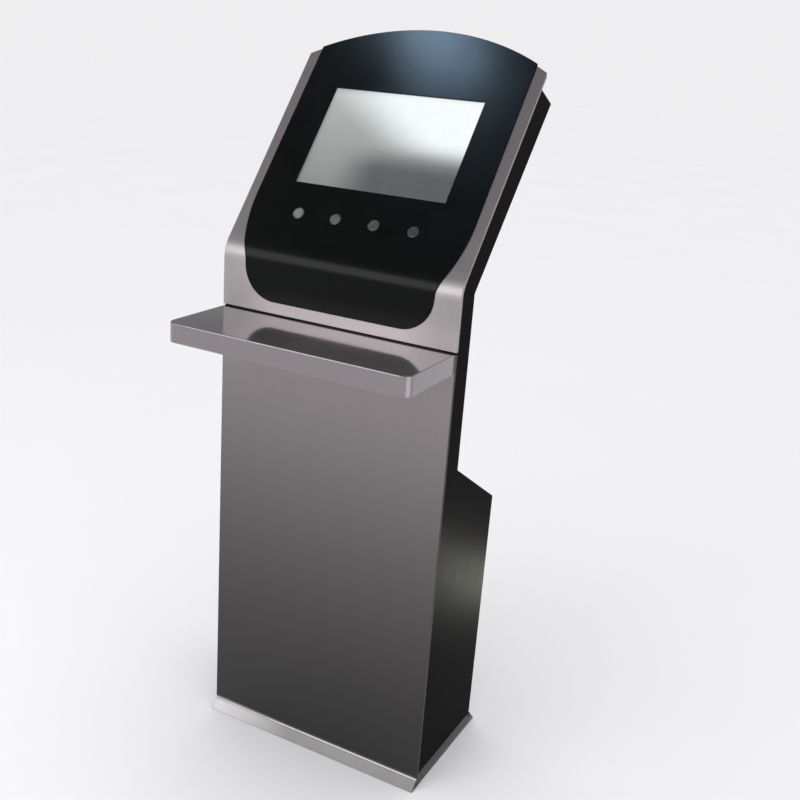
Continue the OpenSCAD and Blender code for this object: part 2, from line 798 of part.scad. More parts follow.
module cabinet_door_frame() color(gloss_black) on_cabinet_back()
    door_frame(plinth_h + seat, shoulder_low_z - 12);
module head_door_frame() color(gloss_black) on_head_back() door_frame(8, rear_len - 8);

module cabinet_hinges() color(zinc) on_cabinet_back() hinge_arms(door_low_z, door_top_z);
module head_hinges() color(zinc) on_head_back() hinge_arms(head_door_low_u, head_door_top_u);

module cabinet_door_seal() color(dark_plastic) on_cabinet_back() door_seal(door_low_z, door_top_z);
module head_door_seal() color(dark_plastic) on_head_back() door_seal(head_door_low_u, head_door_top_u);

module cabinet_door() {
    color(gloss_black) on_cabinet_back() difference() {
        door_pan_shape(door_low_z, door_top_z, cabinet_lock_z);
        for (z = [door_low_z + 80, door_top_z - 80])
            translate([0, 0, z]) along_y(-sheet_t - 1, 1) slot_field(3, 8, 60);
    }
}

module head_door() {
    color(gloss_black) on_head_back() difference() {
        door_pan_shape(head_door_low_u, head_door_top_u, head_lock_u);
        translate([0, 0, head_door_top_u - 60]) along_y(-sheet_t - 1, 1) slot_field(3, 6, 60);
        translate([0, 0, head_door_low_u + 60]) along_y(-sheet_t - 1, 1) slot_field(3, 6, 60);
    }
}

module cabinet_lock() color(zinc) on_cabinet_back() lock_barrel(cabinet_lock_z);
module head_lock() color(zinc) on_head_back() lock_barrel(head_lock_u);
module cabinet_lock_cam() color(zinc) on_cabinet_back() lock_turning(cabinet_lock_z);
module head_lock_cam() color(zinc) on_head_back() lock_turning(head_lock_u);

// Display, drawn on the slope: X across, Y into the head, Z up the slope

// A block centred on the window, w by h, from depth d0 to d1
module window_block(w, h, d0, d1) {
    block([-w / 2, d0, window_mid_v - h / 2], [w / 2, d1, window_mid_v + h / 2]);
}

module glass_gasket() {
    color(dark_plastic) on_slope() difference() {
        window_block(glass_w, glass_h, 0, gasket_t);
        window_block(window_w, window_h, -1, gasket_t + 1);
    }
}

module touch_glass() color([0.2, 0.22, 0.24, 0.5]) on_slope()
    window_block(glass_w, glass_h, gasket_t, glass_d);

lcd_d = glass_d + 1.5;

module lcd_panel() {
    color([0.16, 0.17, 0.2]) on_slope() {
        window_block(window_w + 14, window_h + 14, lcd_d, lcd_d + lcd_t);
        window_block(window_w + 22, window_h + 22, lcd_d + 2, lcd_d + lcd_t - 2);
    }
}

// Open steel tray that holds the panel, with its boards under a cover behind
module display_housing() {
    wall = 1.2;
    color(zinc) on_slope() {
        difference() {
            window_block(display_w - 2, display_h - 2, glass_d, glass_d + lcd_t + 6);
            window_block(display_w - 2 - 2 * wall, display_h - 2 - 2 * wall, glass_d - 1,
                glass_d + lcd_t + 1.5);
        }
        window_block(display_w - 90, display_h - 70, glass_d + lcd_t + 5, glass_d + display_depth - 4);
        both_sides() block([window_w / 2 + 11 + seat, lcd_d + 1, window_mid_v - 70],
            [display_w / 2 - 1.5, glass_d + lcd_t + 2, window_mid_v + 70]);
    }
}

// Angle strips that hold the housing to the back of the face sheet
display_bracket_t = 2;
display_bracket_w = 18;

module display_brackets() {
    half = window_h * 0.4;
    t = display_bracket_t;
    color(zinc) on_slope() both_sides() {
        block([display_w / 2 - t / 2, sheet_t, window_mid_v - half],
            [display_w / 2 + t / 2, glass_d + lcd_t + t * 1.5, window_mid_v + half]);
        block([display_w / 2 - t / 2, sheet_t, window_mid_v - half],
            [display_w / 2 + display_bracket_w, 2 * sheet_t, window_mid_v + half]);
    }
}

// Buttons

ring_t = 1.6;
barrel_l = 18;
switch_l = 14;
button_bore_r = button_d / 2 + running;
button_head_l = 9;
button_bore_l = button_head_l + button_travel + 0.8;

// To a button's axis: Z runs into the head, from the bezel's surface
module at_button(i) on_slope() translate([button_xs[i], -bezel_t, button_v]) rotate([-90, 0, 0]) children();

module button_housings() {
    color(zinc) for (i = [0:3]) at_button(i) difference() {
        union() {
            translate([0, 0, -ring_t]) cylinder(h = ring_t, d = button_ring_d);
            cylinder(h = barrel_l, d = button_barrel_d);
            translate([0, 0, barrel_l]) cylinder(h = switch_l, d = button_barrel_d - 4);
            for (s = [-1, 1]) block([s * 5 - 1.4, -0.4, barrel_l + switch_l],
                [s * 5 + 1.4, 0.4, barrel_l + switch_l + 7]);
        }
        translate([0, 0, -ring_t - 1]) cylinder(h = button_bore_l + 1, r = button_bore_r);
    }
}

module button_nuts() {
    color(zinc) for (i = [0:3]) at_button(i) translate([0, 0, bezel_t + sheet_t]) difference() {
        cylinder(h = 4, d = button_barrel_d + 7, $fn = 6);
        translate([0, 0, -1]) cylinder(h = 6, d = button_barrel_d + 2 * running);
    }
}

module push_button(i) {
    color([0.6, 0.6, 0.6]) at_button(i) translate([0, 0, -ring_t - 0.2])
        cylinder(h = button_head_l, r = button_d / 2);
}

module button_1() push_button(0);
module button_2() push_button(1);
module button_3() push_button(2);
module button_4() push_button(3);

// Inside the cabinet

tray_lip = 20;

module computer_tray() {
    w = side_in - seat;
    y0 = 2 * sheet_t + 4;
    y1 = cab_depth + frame_y - flange_w - 6;
    color(zinc) at_face() {
        block([-w, y0, tray_z - sheet_t], [w, y1, tray_z]);
        both_sides() block([w - sheet_t, y0, tray_z - tray_lip], [w, y1, tray_z]);
        block([-w, y0, tray_z - sheet_t], [w, y0 + sheet_t, tray_z + 12]);
        block([-w, y1 - sheet_t, tray_z - 12], [w, y1, tray_z]);
    }
}

module computer() {
    s = computer_size;
    color([0.2, 0.2, 0.22]) at_face() translate([-40, 20, tray_z]) {
        difference() {
            block([-s[0] / 2, 0, 0], [s[0] / 2, s[1], s[2]]);
            for (i = [0:5]) block([-s[0] / 2 + 20 + i * 9, s[1] - 3, 12],
                [-s[0] / 2 + 24 + i * 9, s[1] + 1, s[2] - 12]);
        }
        for (i = [0:3]) block([20 + i * 22, s[1], 14], [36 + i * 22, s[1] + 1.5, 26]);
        block([-s[0] / 2 - 15, 30, 0], [-s[0] / 2, 50, 2]);
        block([s[0] / 2, 30, 0], [s[0] / 2 + 15, 50, 2]);
    }
}

module power_supply() {
    s = supply_size;
    place = [side_in - s[0] / 2 - 65.5, cab_depth - s[1] - 78, base_t];
    color(dark_plastic) at_face() translate(place) difference() {
        block([-s[0] / 2, -s[1] / 2, 0], [s[0] / 2, s[1] / 2, s[2]]);
        for (i = [0:8]) block([-s[0] / 2 + 30 + i * 12, -s[1] / 2 + 12, s[2] - 1.2],
            [-s[0] / 2 + 34 + i * 12, s[1] / 2 - 12, s[2] + 1]);
    }
}

// Panel-mount mains inlet with three flat pins, its mouth outwards
module power_inlet() {
    wall = 1.8;
    depth = 18;
    color(dark_plastic) on_cabinet_back() translate([inlet_x, 0, inlet_z]) {
        difference() {
            union() {
                block([-inlet_w / 2, -depth - 3, -inlet_h / 2], [inlet_w / 2, 1, inlet_h / 2]);
                block([-inlet_face_w / 2, 0, -inlet_h / 2 - 2], [inlet_face_w / 2, 2, inlet_h / 2 + 2]);
            }
            block([-inlet_w / 2 + wall, -depth, -inlet_h / 2 + wall],
                [inlet_w / 2 - wall, 3, inlet_h / 2 - wall]);
        }
    }
    color(zinc) on_cabinet_back() translate([inlet_x, 0, inlet_z])
        for (p = [[-7, -2.2], [0, 2.2], [7, -2.2]])
            block([p[0] - 1, -depth - 1, p[1] - 2], [p[0] + 1, -3, p[1] + 2]);
}

// Cooling fan under the shoulder

fan_hole_dx = fan_w / 2 - 7.5;
fan_bore_r = fan_w / 2 - 2.5;
fan_hub_r = 20;
fan_shaft_r = 3;
blade_gap = 1.5;
fan_base_t = 4;

// Vent slots over the fan: rows within its bore, broken by a rib in the middle
module fan_slots() {
    rows = floor((fan_bore_r - 6) / slot_pitch);
    for (j = [-rows:rows], s = [-1, 1]) {
        half = sqrt(pow(fan_bore_r - 2, 2) - pow(j * slot_pitch, 2));
        translate([s * (half + 5) / 2, j * slot_pitch]) slot(half - 5, slot_w);
    }
}

// To the fan's axis: Z runs out through the shoulder, zero at its inner face
module at_fan() on_shoulder() translate([0, shoulder_len / 2, -sheet_t]) children();

module fan_frame() {
    color(dark_plastic) at_fan() difference() {
        union() {
            difference() {
                block([-fan_w / 2, -fan_w / 2, -fan_t], [fan_w / 2, fan_w / 2, 0]);
                translate([0, 0, -fan_t - 1]) cylinder(h = fan_t + 2, r = fan_bore_r);
            }
            translate([0, 0, -fan_t]) cylinder(h = fan_base_t, r = fan_hub_r);
            for (a = [45, 135]) rotate(a) block([-fan_bore_r - 1, -2.5, -fan_t],
                [fan_bore_r + 1, 2.5, -fan_t + fan_base_t]);
        }
        for (x = [-1, 1], y = [-1, 1]) translate([x * fan_hole_dx, y * fan_hole_dx, -fan_t - 1])
            cylinder(h = fan_t + 2, r = 2.2);
        translate([0, 0, -fan_t + 1]) cylinder(h = fan_base_t, r = fan_shaft_r + running);
    }
}

module fan_rotor() {
    z0 = -fan_t + fan_base_t + 0.8;
    h = fan_t - fan_base_t - 3;
    blade_h = h - 3;
    color([0.17, 0.17, 0.18]) at_fan() {
        translate([0, 0, z0]) cylinder(h = h, r = fan_hub_r - 1);
        translate([0, 0, -fan_t + 1.3]) cylinder(h = fan_base_t, r = fan_shaft_r);
        intersection() {
            translate([0, 0, z0 + 1]) cylinder(h = h - 2, r = fan_bore_r - blade_gap);
            for (i = [0:6]) rotate(i * 360 / 7) translate([fan_hub_r - 3, 0, z0 + h / 2])
                rotate([-52, 0, 0])
                block([0, -1, -h], [fan_bore_r, 1, h]);
        }
    }
}

// Screws of the rear panels

// Low round head with a hexagonal recess, seated on a surface; Z points out of the surface
module screw() {
    difference() {
        cylinder(h = 2.2, d = 8);
        translate([0, 0, 1]) cylinder(h = 2, d = 4, $fn = 6);
    }
}

module panel_screws() {
    color(zinc) {
        on_cabinet_back() for (x = [-1, 1]) translate([x * (side_in - 14), 0, (plinth_h + door_low_z) / 2])
            rotate([-90, 0, 0]) screw();
        at_face() for (x = [-1, 1], z = [shoulder_z + 40, (shoulder_z + knee[1]) / 2, knee[1] - 40])
            translate([x * (side_in - 14), neck_depth, z]) rotate([-90, 0, 0]) screw();
        on_shoulder() for (x = [-1, 1], y = [30, shoulder_len - 30]) translate([x * (side_in - 14), y, 0])
            screw();
        at_fan() for (x = [-1, 1], y = [-1, 1]) translate([x * fan_hole_dx, y * fan_hole_dx, sheet_t])
            screw();
    }
}

plinth();
side_panel_left();
side_panel_right();
lower_front_panel();
head_front_panel();
bezel();
keyboard_shelf();
shelf_brackets();
shelf_rail();
head_top_cover();
neck_panel();
shoulder_panel();
rear_sill();
cabinet_door_frame();
head_door_frame();
cabinet_hinges();
head_hinges();
cabinet_door_seal();
head_door_seal();
cabinet_door();
head_door();
cabinet_lock();
head_lock();
cabinet_lock_cam();
head_lock_cam();
glass_gasket();
touch_glass();
lcd_panel();
display_housing();
display_brackets();
button_housings();
button_nuts();
button_1();
button_2();
button_3();
button_4();
computer_tray();
computer();
power_supply();
power_inlet();
fan_frame();
fan_rotor();
panel_screws();
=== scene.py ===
"""Looks of a free-standing self-service kiosk: silver lacquered face sheets, a gloss black bezel with a
display and four push buttons, a keyboard shelf, and a black cabinet that opens at the back."""

import json
import math

import bmesh
import bpy
from bpy.props import FloatProperty
from bpy.props import FloatVectorProperty
from bpy.props import PointerProperty
from bpy.types import Operator
from bpy.types import Panel
from bpy.types import PropertyGroup
from mathutils import Matrix
from mathutils import Vector

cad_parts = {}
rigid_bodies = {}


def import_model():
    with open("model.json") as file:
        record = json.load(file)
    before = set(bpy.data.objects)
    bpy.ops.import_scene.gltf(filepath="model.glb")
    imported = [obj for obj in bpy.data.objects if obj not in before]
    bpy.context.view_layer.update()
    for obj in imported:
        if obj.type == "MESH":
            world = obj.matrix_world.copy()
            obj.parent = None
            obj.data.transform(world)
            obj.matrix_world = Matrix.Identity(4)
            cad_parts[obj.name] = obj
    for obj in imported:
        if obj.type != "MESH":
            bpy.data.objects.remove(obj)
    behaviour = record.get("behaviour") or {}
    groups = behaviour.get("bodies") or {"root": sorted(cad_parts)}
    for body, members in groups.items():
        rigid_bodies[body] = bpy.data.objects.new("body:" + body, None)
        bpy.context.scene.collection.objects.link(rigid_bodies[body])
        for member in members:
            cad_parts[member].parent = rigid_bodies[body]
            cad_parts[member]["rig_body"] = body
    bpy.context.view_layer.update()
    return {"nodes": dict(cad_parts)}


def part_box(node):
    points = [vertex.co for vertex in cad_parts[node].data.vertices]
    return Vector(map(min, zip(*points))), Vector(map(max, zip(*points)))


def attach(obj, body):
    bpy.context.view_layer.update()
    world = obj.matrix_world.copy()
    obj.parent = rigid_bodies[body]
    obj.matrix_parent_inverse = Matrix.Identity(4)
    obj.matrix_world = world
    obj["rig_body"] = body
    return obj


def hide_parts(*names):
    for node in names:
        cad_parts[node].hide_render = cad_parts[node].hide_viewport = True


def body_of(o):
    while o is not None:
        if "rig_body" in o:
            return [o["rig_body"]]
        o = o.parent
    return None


bl_info = {
    "name": "Self-service kiosk",
    "version": (1, 0, 0),
    "blender": (4, 5, 0),
    "location": "3D View > Sidebar > Kiosk",
    "description": "Builds the finishes, the rounded edges and the studio of a self-service kiosk",
    "category": "Object",
}

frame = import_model()

# The nodes that share a finish
BUTTONS = ("button_1", "button_2", "button_3", "button_4")
SIDE_SHEETS = ("side_panel_left", "side_panel_right")
BACK_SHEETS = (
    "head_top_cover",
    "neck_panel",
    "shoulder_panel",
    "rear_sill",
    "cabinet_door_frame",
    "head_door_frame",
)
DOORS = ("cabinet_door", "head_door")
ZINC_PARTS = (
    "shelf_brackets",
    "shelf_rail",
    "cabinet_hinges",
    "head_hinges",
    "cabinet_lock",
    "head_lock",
    "cabinet_lock_cam",
    "head_lock_cam",
    "display_housing",
    "display_brackets",
    "button_nuts",
    "computer_tray",
    "panel_screws",
)
FOAM_PARTS = ("cabinet_door_seal", "head_door_seal", "glass_gasket")

# The head leans back by this angle, and its buttons face out of the slope
SLOPE = math.radians(38.0)
OUT_OF_SLOPE = Vector((0.0, -math.cos(SLOPE), math.sin(SLOPE)))

# Corners sharper than the first angle are rounded. Joints flatter than the others are shaded smooth, within a
# rounding and on the plain faces.
SHARP_CORNER = math.radians(50.0)
SMOOTH_ROUNDING = math.radians(50.0)
SMOOTH_PLAIN = math.radians(25.0)
# Vertices nearer than this are one, and faces flatter than this angle are merged before the rounding
WELD = 0.00001
MERGE_DEG = 1.0
# The plinth's rear corners keep their small faces, which don't merge cleanly
PLINTH_MERGE_DEG = 0.02
# Roundings on these are held back where they would meet
CLAMPED = ("head_top_cover",)
# Edges shorter than this run round the hinge bores
BORE_FACET = 0.0015
# The face sheet's edges are rounded from this far above the shelf
SEAM_CLEAR = 0.01
# An edge within this distance of a box's side lies on it
ON_SIDE = 0.0004

# These are paler than the paint and lacquer that they lie on. The last is a painted highlight in the front
# sheet's bend.
DUST = (0.2, 0.19, 0.18)
SILVER_DUST = (0.5, 0.48, 0.46)
SILVER_WEAR = (0.62, 0.6, 0.61)
PAINTED_CREASE_HIGHLIGHT = (0.8, 0.78, 0.79)
# Painted shade for a sheet's sideways faces, darker than its lacquer
PAINTED_SIDE_SHADE = (0.008, 0.008, 0.008)

# The lamps that aren't the sky: where they stand, what they face, their width and height, the setting that
# holds their power, and, where they don't light everything, the nodes whose pieces they light alone
LAMPS = {
    "strip_lamp": {
        "place": (-0.85, -2.2, 1.72),
        "target": (0.0, -0.1, 0.9),
        "size": (1.9, 1.0),
        "power": "key_power",
    },
    "crown_lamp": {
        "place": (-0.95, -0.06, 3.3),
        "target": (0.0, 0.25, 1.48),
        "size": (0.7, 0.3),
        "power": "top_power",
        "tint": (0.5, 0.73, 1.0),
        "lights": ("bezel",),
    },
    "button_lamp": {
        "place": (-1.67, -0.67, 2.79),
        "target": (0.0, 0.0, 1.2),
        "size": (0.3, 0.3),
        "power": "button_power",
        "lights": (*BUTTONS, "button_housings"),
    },
    "side_lamp": {
        "place": (0.49, 0.7, 0.04),
        "target": (0.26, 0.14, 0.42),
        "size": (0.5, 0.1),
        "power": "side_power",
        "tint": (1.0, 1.0, 0.88),
        "lights": ("side_panel_right",),
    },
    "corner_lamp": {
        "place": (1.72, -0.6, 0.44),
        "target": (0.24, -0.27, 0.93),
        "size": (1.3, 0.6),
        "power": "corner_power",
        "lights": ("keyboard_shelf",),
    },
}
SKY_DIRECTION = Vector((-0.05, -0.2, -0.97))
SKY_SPREAD = math.radians(120.0)
FLOOR_HALF = 30.0
FLOOR_GAP = 0.0005


def colour(name, text, default):
    """A colour that a user may change."""
    return FloatVectorProperty(
        name=name, description=text, default=default, subtype="COLOR", size=3, min=0.0, max=1.0
    )


def radius(name, text, default):
    """A rounding that a user may change."""
    return FloatProperty(
        name=name,
        description=text,
        default=default,
        min=0.0,
        precision=5,
        unit="LENGTH",
        subtype="DISTANCE",
    )


def share(name, text, default):
    """A value from 0 to 1 that a user may change."""
    return FloatProperty(name=name, description=text, default=default, min=0.0, max=1.0)


def power(name, text, default):
    """A lamp's power that a user may change."""
    return FloatProperty(name=name, description=text, default=default, min=0.0, unit="POWER")


def angle(name, text, degrees):
    """An angle that a user may change."""
    return FloatProperty(
        name=name,
        description=text,
        default=math.radians(degrees),
        subtype="ANGLE",
        unit="ROTATION",
    )


class KioskColours(PropertyGroup):
    """Colours of the finishes, as linear values."""

    silver_head: colour("Silver, head", "Lacquer of the head's face sheet", (0.262, 0.239, 0.247))
    silver_shelf: colour("Silver, shelf", "Lacquer of the keyboard shelf", (0.26, 0.233, 0.243))
    silver_top: colour("Silver, front", "Lacquer of the front sheet's top", (0.29, 0.262, 0.266))
    # The foot's colour is painted shade, where the front sheet would reflect a dark floor. The flare and
    # plinth colour is made lighter as painted light on the flare and darker as painted shade on the plinth.
    silver_foot: colour("Silver, foot", "Lacquer of the front sheet's foot", (0.032, 0.03, 0.029))
    silver_base: colour("Silver, flare", "Lacquer of the flare and plinth", (0.19, 0.182, 0.187))
    bezel_black: colour("Bezel", "Gloss black of the bezel", (0.0015, 0.0018, 0.0016))
    cabinet_black: colour("Cabinet", "Smooth black paint of the sides", (0.0065, 0.006, 0.0064))
    back_black: colour("Back", "Black paint of the doors, back and top", (0.014, 0.014, 0.015))
    foam_black: colour("Foam", "Door seals and the gasket of the glass", (0.02, 0.02, 0.02))
    plastic_black: colour("Plastic", "Fan, power supply and inlet", (0.025, 0.025, 0.027))
    computer_grey: colour("Computer", "Textured paint of the computer", (0.035, 0.035, 0.038))
    zinc: colour("Zinc", "Zinc-plated brackets, tray and screws", (0.55, 0.56, 0.57))
    button_metal: colour("Buttons", "Satin turned metal of the buttons", (0.19, 0.194, 0.19))
    # The blank display glows by emission, and its bright and dim corners are a painted reflection
    display_pale: colour("Display, bright", "Bright corner of the blank display", (0.96, 0.98, 1.0))
    display_middle: colour("Display, middle", "Middle tone of the display", (0.315, 0.315, 0.305))
    display_dim: colour("Display, dim", "Dim corner of the blank display", (0.022, 0.022, 0.026))


class KioskSizes(PropertyGroup):
    """Roundings of the edges, and the gloss of the finishes."""

    edge_radius: radius("Shaded edge", "How far the light rounds any sheet's edges", 0.0009)
    sheet_edge: radius("Sheets", "Rounding of the sheets' edges", 0.0005)
    shelf_edge: radius("Shelf", "Rounding of the shelf's upper edge", 0.0019)
    bezel_edge: radius("Bezel", "Rounding of the bezel's edges", 0.0009)
    button_edge: radius("Buttons", "Rounding of the button heads", 0.0006)
    ring_edge: radius("Button rings", "Rounding of the rings' outer edges", 0.0013)
    case_edge: radius("Cases", "Rounding of the computer and the power supply", 0.0008)
    gloss: share("Bezel roughness", "Roughness of the gloss black", 0.2)
    lacquer_roughness: share("Silver roughness", "Roughness under the clear coat", 0.36)


class KioskStage(PropertyGroup):
    """The studio and the camera."""

    camera_place: FloatVectorProperty(
        name="Camera",
        description="Where the camera stands",
        default=(0.9924, -1.7629, 1.4702),
        unit="LENGTH",
        size=3,
    )
    camera_yaw: angle("Yaw", "Turn of the view to the left", 26.89)
    camera_pitch: angle("Pitch", "Tilt of the view", -18.86)
    camera_roll: angle("Roll", "Roll of the camera", 4.37)
    camera_lens: FloatProperty(
        name="Lens", description="Focal length", default=46.94, min=1.0, unit="CAMERA"
    )
    floor_colour: colour("Floor", "Colour of the pale floor", (0.84, 0.84, 0.85))
    key_power: power("Strip lamp", "Power of the long front lamp", 18.5)
    top_power: power("Crown lamp", "Power of the lamp over the head", 17.0)
    button_power: power("Button lamp", "Power of the lamp on the buttons", 3.7)
    side_power: power("Side lamp", "Power of the low lamp on the right side", 3.5)
    corner_power: power("Corner lamp", "Power of the lamp on the shelf's corner", 2.0)
    sky_power: FloatProperty(
        name="Sky lamp", description="Strength of the soft light from above", default=2.3, min=0.0
    )


def settings(group):
    """The scene's settings of one group: colours, sizes or stage."""
    return getattr(bpy.context.scene, "kiosk_" + group)


def tinted(base, factor):
    """A colour made lighter or darker by a factor."""
    return tuple(channel * factor for channel in base)


def grey(value):
    """A neutral colour."""
    return (value, value, value)


# Node tools


def add_node(tree, kind, inputs=None, **values):
    """A node with its values set, and its inputs set to a value or joined to another node's output."""
    node = tree.nodes.new(kind)
    for key, value in values.items():
        setattr(node, key, value)
    for key, value in (inputs or {}).items():
        if isinstance(value, bpy.types.NodeSocket):
            tree.links.new(value, node.inputs[key])
        else:
            node.inputs[key].default_value = value
    return node


def new_material(name):
    """A material with only its Principled shader and its output."""
    material = bpy.data.materials.new(name)
    material.use_nodes = True
    tree = material.node_tree
    tree.nodes.clear()
    output = tree.nodes.new("ShaderNodeOutputMaterial")
    shader = tree.nodes.new("ShaderNodeBsdfPrincipled")
    tree.links.new(shader.outputs["BSDF"], output.inputs["Surface"])
    return material, tree, shader


def object_place(tree, scale=(1.0, 1.0, 1.0)):
    """Object coordinates, which are the row frame's in metres, stretched for a grain."""
    coordinates = add_node(tree, "ShaderNodeTexCoord")
    mapping = add_node(tree, "ShaderNodeMapping", {"Vector": coordinates.outputs["Object"]})
    mapping.inputs["Scale"].default_value = scale
    return mapping.outputs["Vector"]


def along(tree, vector, axis):
    """One coordinate of a vector."""
    return add_node(tree, "ShaderNodeSeparateXYZ", {"Vector": vector}).outputs[axis]


def facing(tree, axis):
    """How far the flat face looks along an axis, from -1 to 1."""
    return along(tree, add_node(tree, "ShaderNodeNewGeometry").outputs["True Normal"], axis)


def noise(tree, vector, scale, detail):
    """A cloud of smooth noise."""
    inputs = {"Vector": vector, "Scale": scale, "Detail": detail}
    return add_node(tree, "ShaderNodeTexNoise", inputs).outputs["Fac"]


def mixed(tree, amount, first, second, blend="MIX"):
    """A mix of two colours."""
    node = add_node(tree, "ShaderNodeMix", data_type="RGBA", blend_type=blend)
    for index, value in ((0, amount), (6, first), (7, second)):
        if isinstance(value, bpy.types.NodeSocket):
            tree.links.new(value, node.inputs[index])
        elif index == 0:
            node.inputs[0].default_value = value
        else:
            node.inputs[index].default_value = (*value, 1.0)
    return node.outputs[2]


def ramped(tree, value, low, high, to_low=0.0, to_high=1.0, smooth=False):
    """A value mapped from one range to another and held within it."""
    kind = "SMOOTHSTEP" if smooth else "LINEAR"
    names = {"Value": value, "From Min": low, "From Max": high, "To Min": to_low, "To Max": to_high}
    return add_node(tree, "ShaderNodeMapRange", names, interpolation_type=kind).outputs["Result"]


def math_node(tree, operation, first, second):
    """One sum on two values."""
    return add_node(tree, "ShaderNodeMath", {0: first, 1: second}, operation=operation).outputs[0]


def product(tree, first, *others):
    """Values multiplied together."""
    for other in others:
        first = math_node(tree, "MULTIPLY", first, other)
    return first


def relief(tree, height, normal, strength, distance):
    """A Bump node over a base normal."""
    inputs = {"Height": height, "Normal": normal, "Strength": strength, "Distance": distance}
    return add_node(tree, "ShaderNodeBump", inputs).outputs["Normal"]


def new_group(name, inputs, outputs):
    """A shader node group with named sockets; inputs map a name to a socket type and its default."""
    group = bpy.data.node_groups.new(name, "ShaderNodeTree")
    for key, (kind, default) in inputs.items():
        socket = group.interface.new_socket(name=key, in_out="INPUT", socket_type=kind)
        if default is not None:
            socket.default_value = default
    for key, kind in outputs.items():
        group.interface.new_socket(name=key, in_out="OUTPUT", socket_type=kind)
    start = group.nodes.new("NodeGroupInput")
    end = group.nodes.new("NodeGroupOutput")
    return group, start.outputs, end.inputs


# Effects that several finishes share


def surface_group():
    """Fine surface: uneven gloss and a fine relief. Height feeds a Bump node."""
    name = "Fine surface"
    if name in bpy.data.node_groups:
        return bpy.data.node_groups[name]
    inputs = {
        "Vector": ("NodeSocketVector", None),
        "Grain": ("NodeSocketFloat", 900.0),
        "Clouds": ("NodeSocketFloat", 9.0),
        "Roughness": ("NodeSocketFloat", 0.4),
        "Spread": ("NodeSocketFloat", 0.1),
    }
    outputs = {
        "Roughness": "NodeSocketFloat",
        "Height": "NodeSocketFloat",
        "Cloud": "NodeSocketFloat",
    }
    group, given, made = new_group(name, inputs, outputs)
    fine = noise(group, given["Vector"], given["Grain"], 2.0)
    cloud = noise(group, given["Vector"], given["Clouds"], 4.0)
    fine_share, middle, smoothest = 0.35, 0.675, 0.02
    both = math_node(group, "ADD", product(group, fine, fine_share), cloud)
    offset = product(group, math_node(group, "SUBTRACT", both, middle), given["Spread"])
    rough = math_node(group, "ADD", given["Roughness"], offset)
    group.links.new(math_node(group, "MAXIMUM", rough, smoothest), made["Roughness"])
    group.links.new(fine, made["Height"])
    group.links.new(cloud, made["Cloud"])
    return group


def edge_group():
    """Soft edge: the normal rounded over an edge, and a mask of the edges, broken up by noise."""
    name = "Soft edge"
    if name in bpy.data.node_groups:
        return bpy.data.node_groups[name]
    inputs = {
        "Vector": ("NodeSocketVector", None),
        "Radius": ("NodeSocketFloat", 0.001),
        "Wear": ("NodeSocketFloat", 0.5),
    }
    outputs = {"Mask": "NodeSocketFloat", "Normal": "NodeSocketVector"}
    group, given, made = new_group(name, inputs, outputs)
    bevel = add_node(group, "ShaderNodeBevel", {"Radius": given["Radius"]}, samples=4)
    flat = add_node(group, "ShaderNodeNewGeometry").outputs["True Normal"]
    pair = {0: bevel.outputs["Normal"], 1: flat}
    alike = add_node(group, "ShaderNodeVectorMath", pair, operation="DOT_PRODUCT")
    edge = ramped(group, alike.outputs["Value"], 0.995, 0.8)
    broken = ramped(group, noise(group, given["Vector"], 160.0, 3.0), 0.42, 0.62)
    group.links.new(product(group, edge, broken, given["Wear"]), made["Mask"])
    group.links.new(bevel.outputs["Normal"], made["Normal"])
    return group


def dust_group():
    """Dust: a mask that gathers in patches on faces that look up."""
    name = "Dust"
    if name in bpy.data.node_groups:
        return bpy.data.node_groups[name]
    inputs = {"Vector": ("NodeSocketVector", None), "Amount": ("NodeSocketFloat", 0.2)}
    group, given, made = new_group(name, inputs, {"Mask": "NodeSocketFloat"})
    up = along(group, add_node(group, "ShaderNodeNewGeometry").outputs["Normal"], "Z")
    lying = ramped(group, up, 0.2, 1.0)
    patches = ramped(group, noise(group, given["Vector"], 22.0, 6.0), 0.35, 0.75)
    group.links.new(product(group, lying, patches, given["Amount"]), made["Mask"])
    return group


def fine_surface(tree, place, roughness, spread, grain, clouds=9.0):
    """The fine surface, placed in a material."""
    inputs = {
        "Vector": place,
        "Grain": grain,
        "Clouds": clouds,
        "Roughness": roughness,
        "Spread": spread,
    }
    return add_node(tree, "ShaderNodeGroup", inputs, node_tree=surface_group()).outputs


def soft_edge(tree, place, wear, reach):
    """The soft edge, placed in a material."""
    inputs = {"Vector": place, "Radius": reach, "Wear": wear}
    return add_node(tree, "ShaderNodeGroup", inputs, node_tree=edge_group()).outputs


def dust_film(tree, place, amount):
    """The dust, placed in a material."""
    inputs = {"Vector": place, "Amount": amount}
    return add_node(tree, "ShaderNodeGroup", inputs, node_tree=dust_group()).outputs["Mask"]


def finish(tree, shader, tone, roughness, normal):
    """Joins a finish to its shader."""
    tree.links.new(tone, shader.inputs["Base Color"])
    tree.links.new(roughness, shader.inputs["Roughness"])
    tree.links.new(normal, shader.inputs["Normal"])


# Finishes


def painted(
    name, base, roughness, spread, grain, bump, wear, worn=(0.3, 0.3, 0.3), level=0.5, dust=0.15
):
    """A sprayed or moulded finish: uneven gloss, fine relief, worn edges and a little dust."""
    material, tree, shader = new_material(name)
    place = object_place(tree)
    fine = fine_surface(tree, place, roughness, spread, grain)
    edge = soft_edge(tree, place, wear, settings("sizes").edge_radius)
    film = dust_film(tree, place, dust)
    tone = mixed(tree, ramped(tree, fine["Cloud"], 0.3, 0.7), base, tinted(base, 1.25))
    tone = mixed(tree, edge["Mask"], tone, worn)
    tone = mixed(tree, film, tone, DUST)
    dusty = math_node(tree, "ADD", fine["Roughness"], product(tree, film, 0.5))
    finish(tree, shader, tone, dusty, relief(tree, fine["Height"], edge["Normal"], bump, 0.0001))
    shader.inputs["Specular IOR Level"].default_value = level
    return material


def rising_share(tree, place, bottom, top):
    """From 0 at one height to 1 at another, slowly at first."""
    return math_node(tree, "POWER", ramped(tree, along(tree, place, "Z"), bottom, top), 2.0)


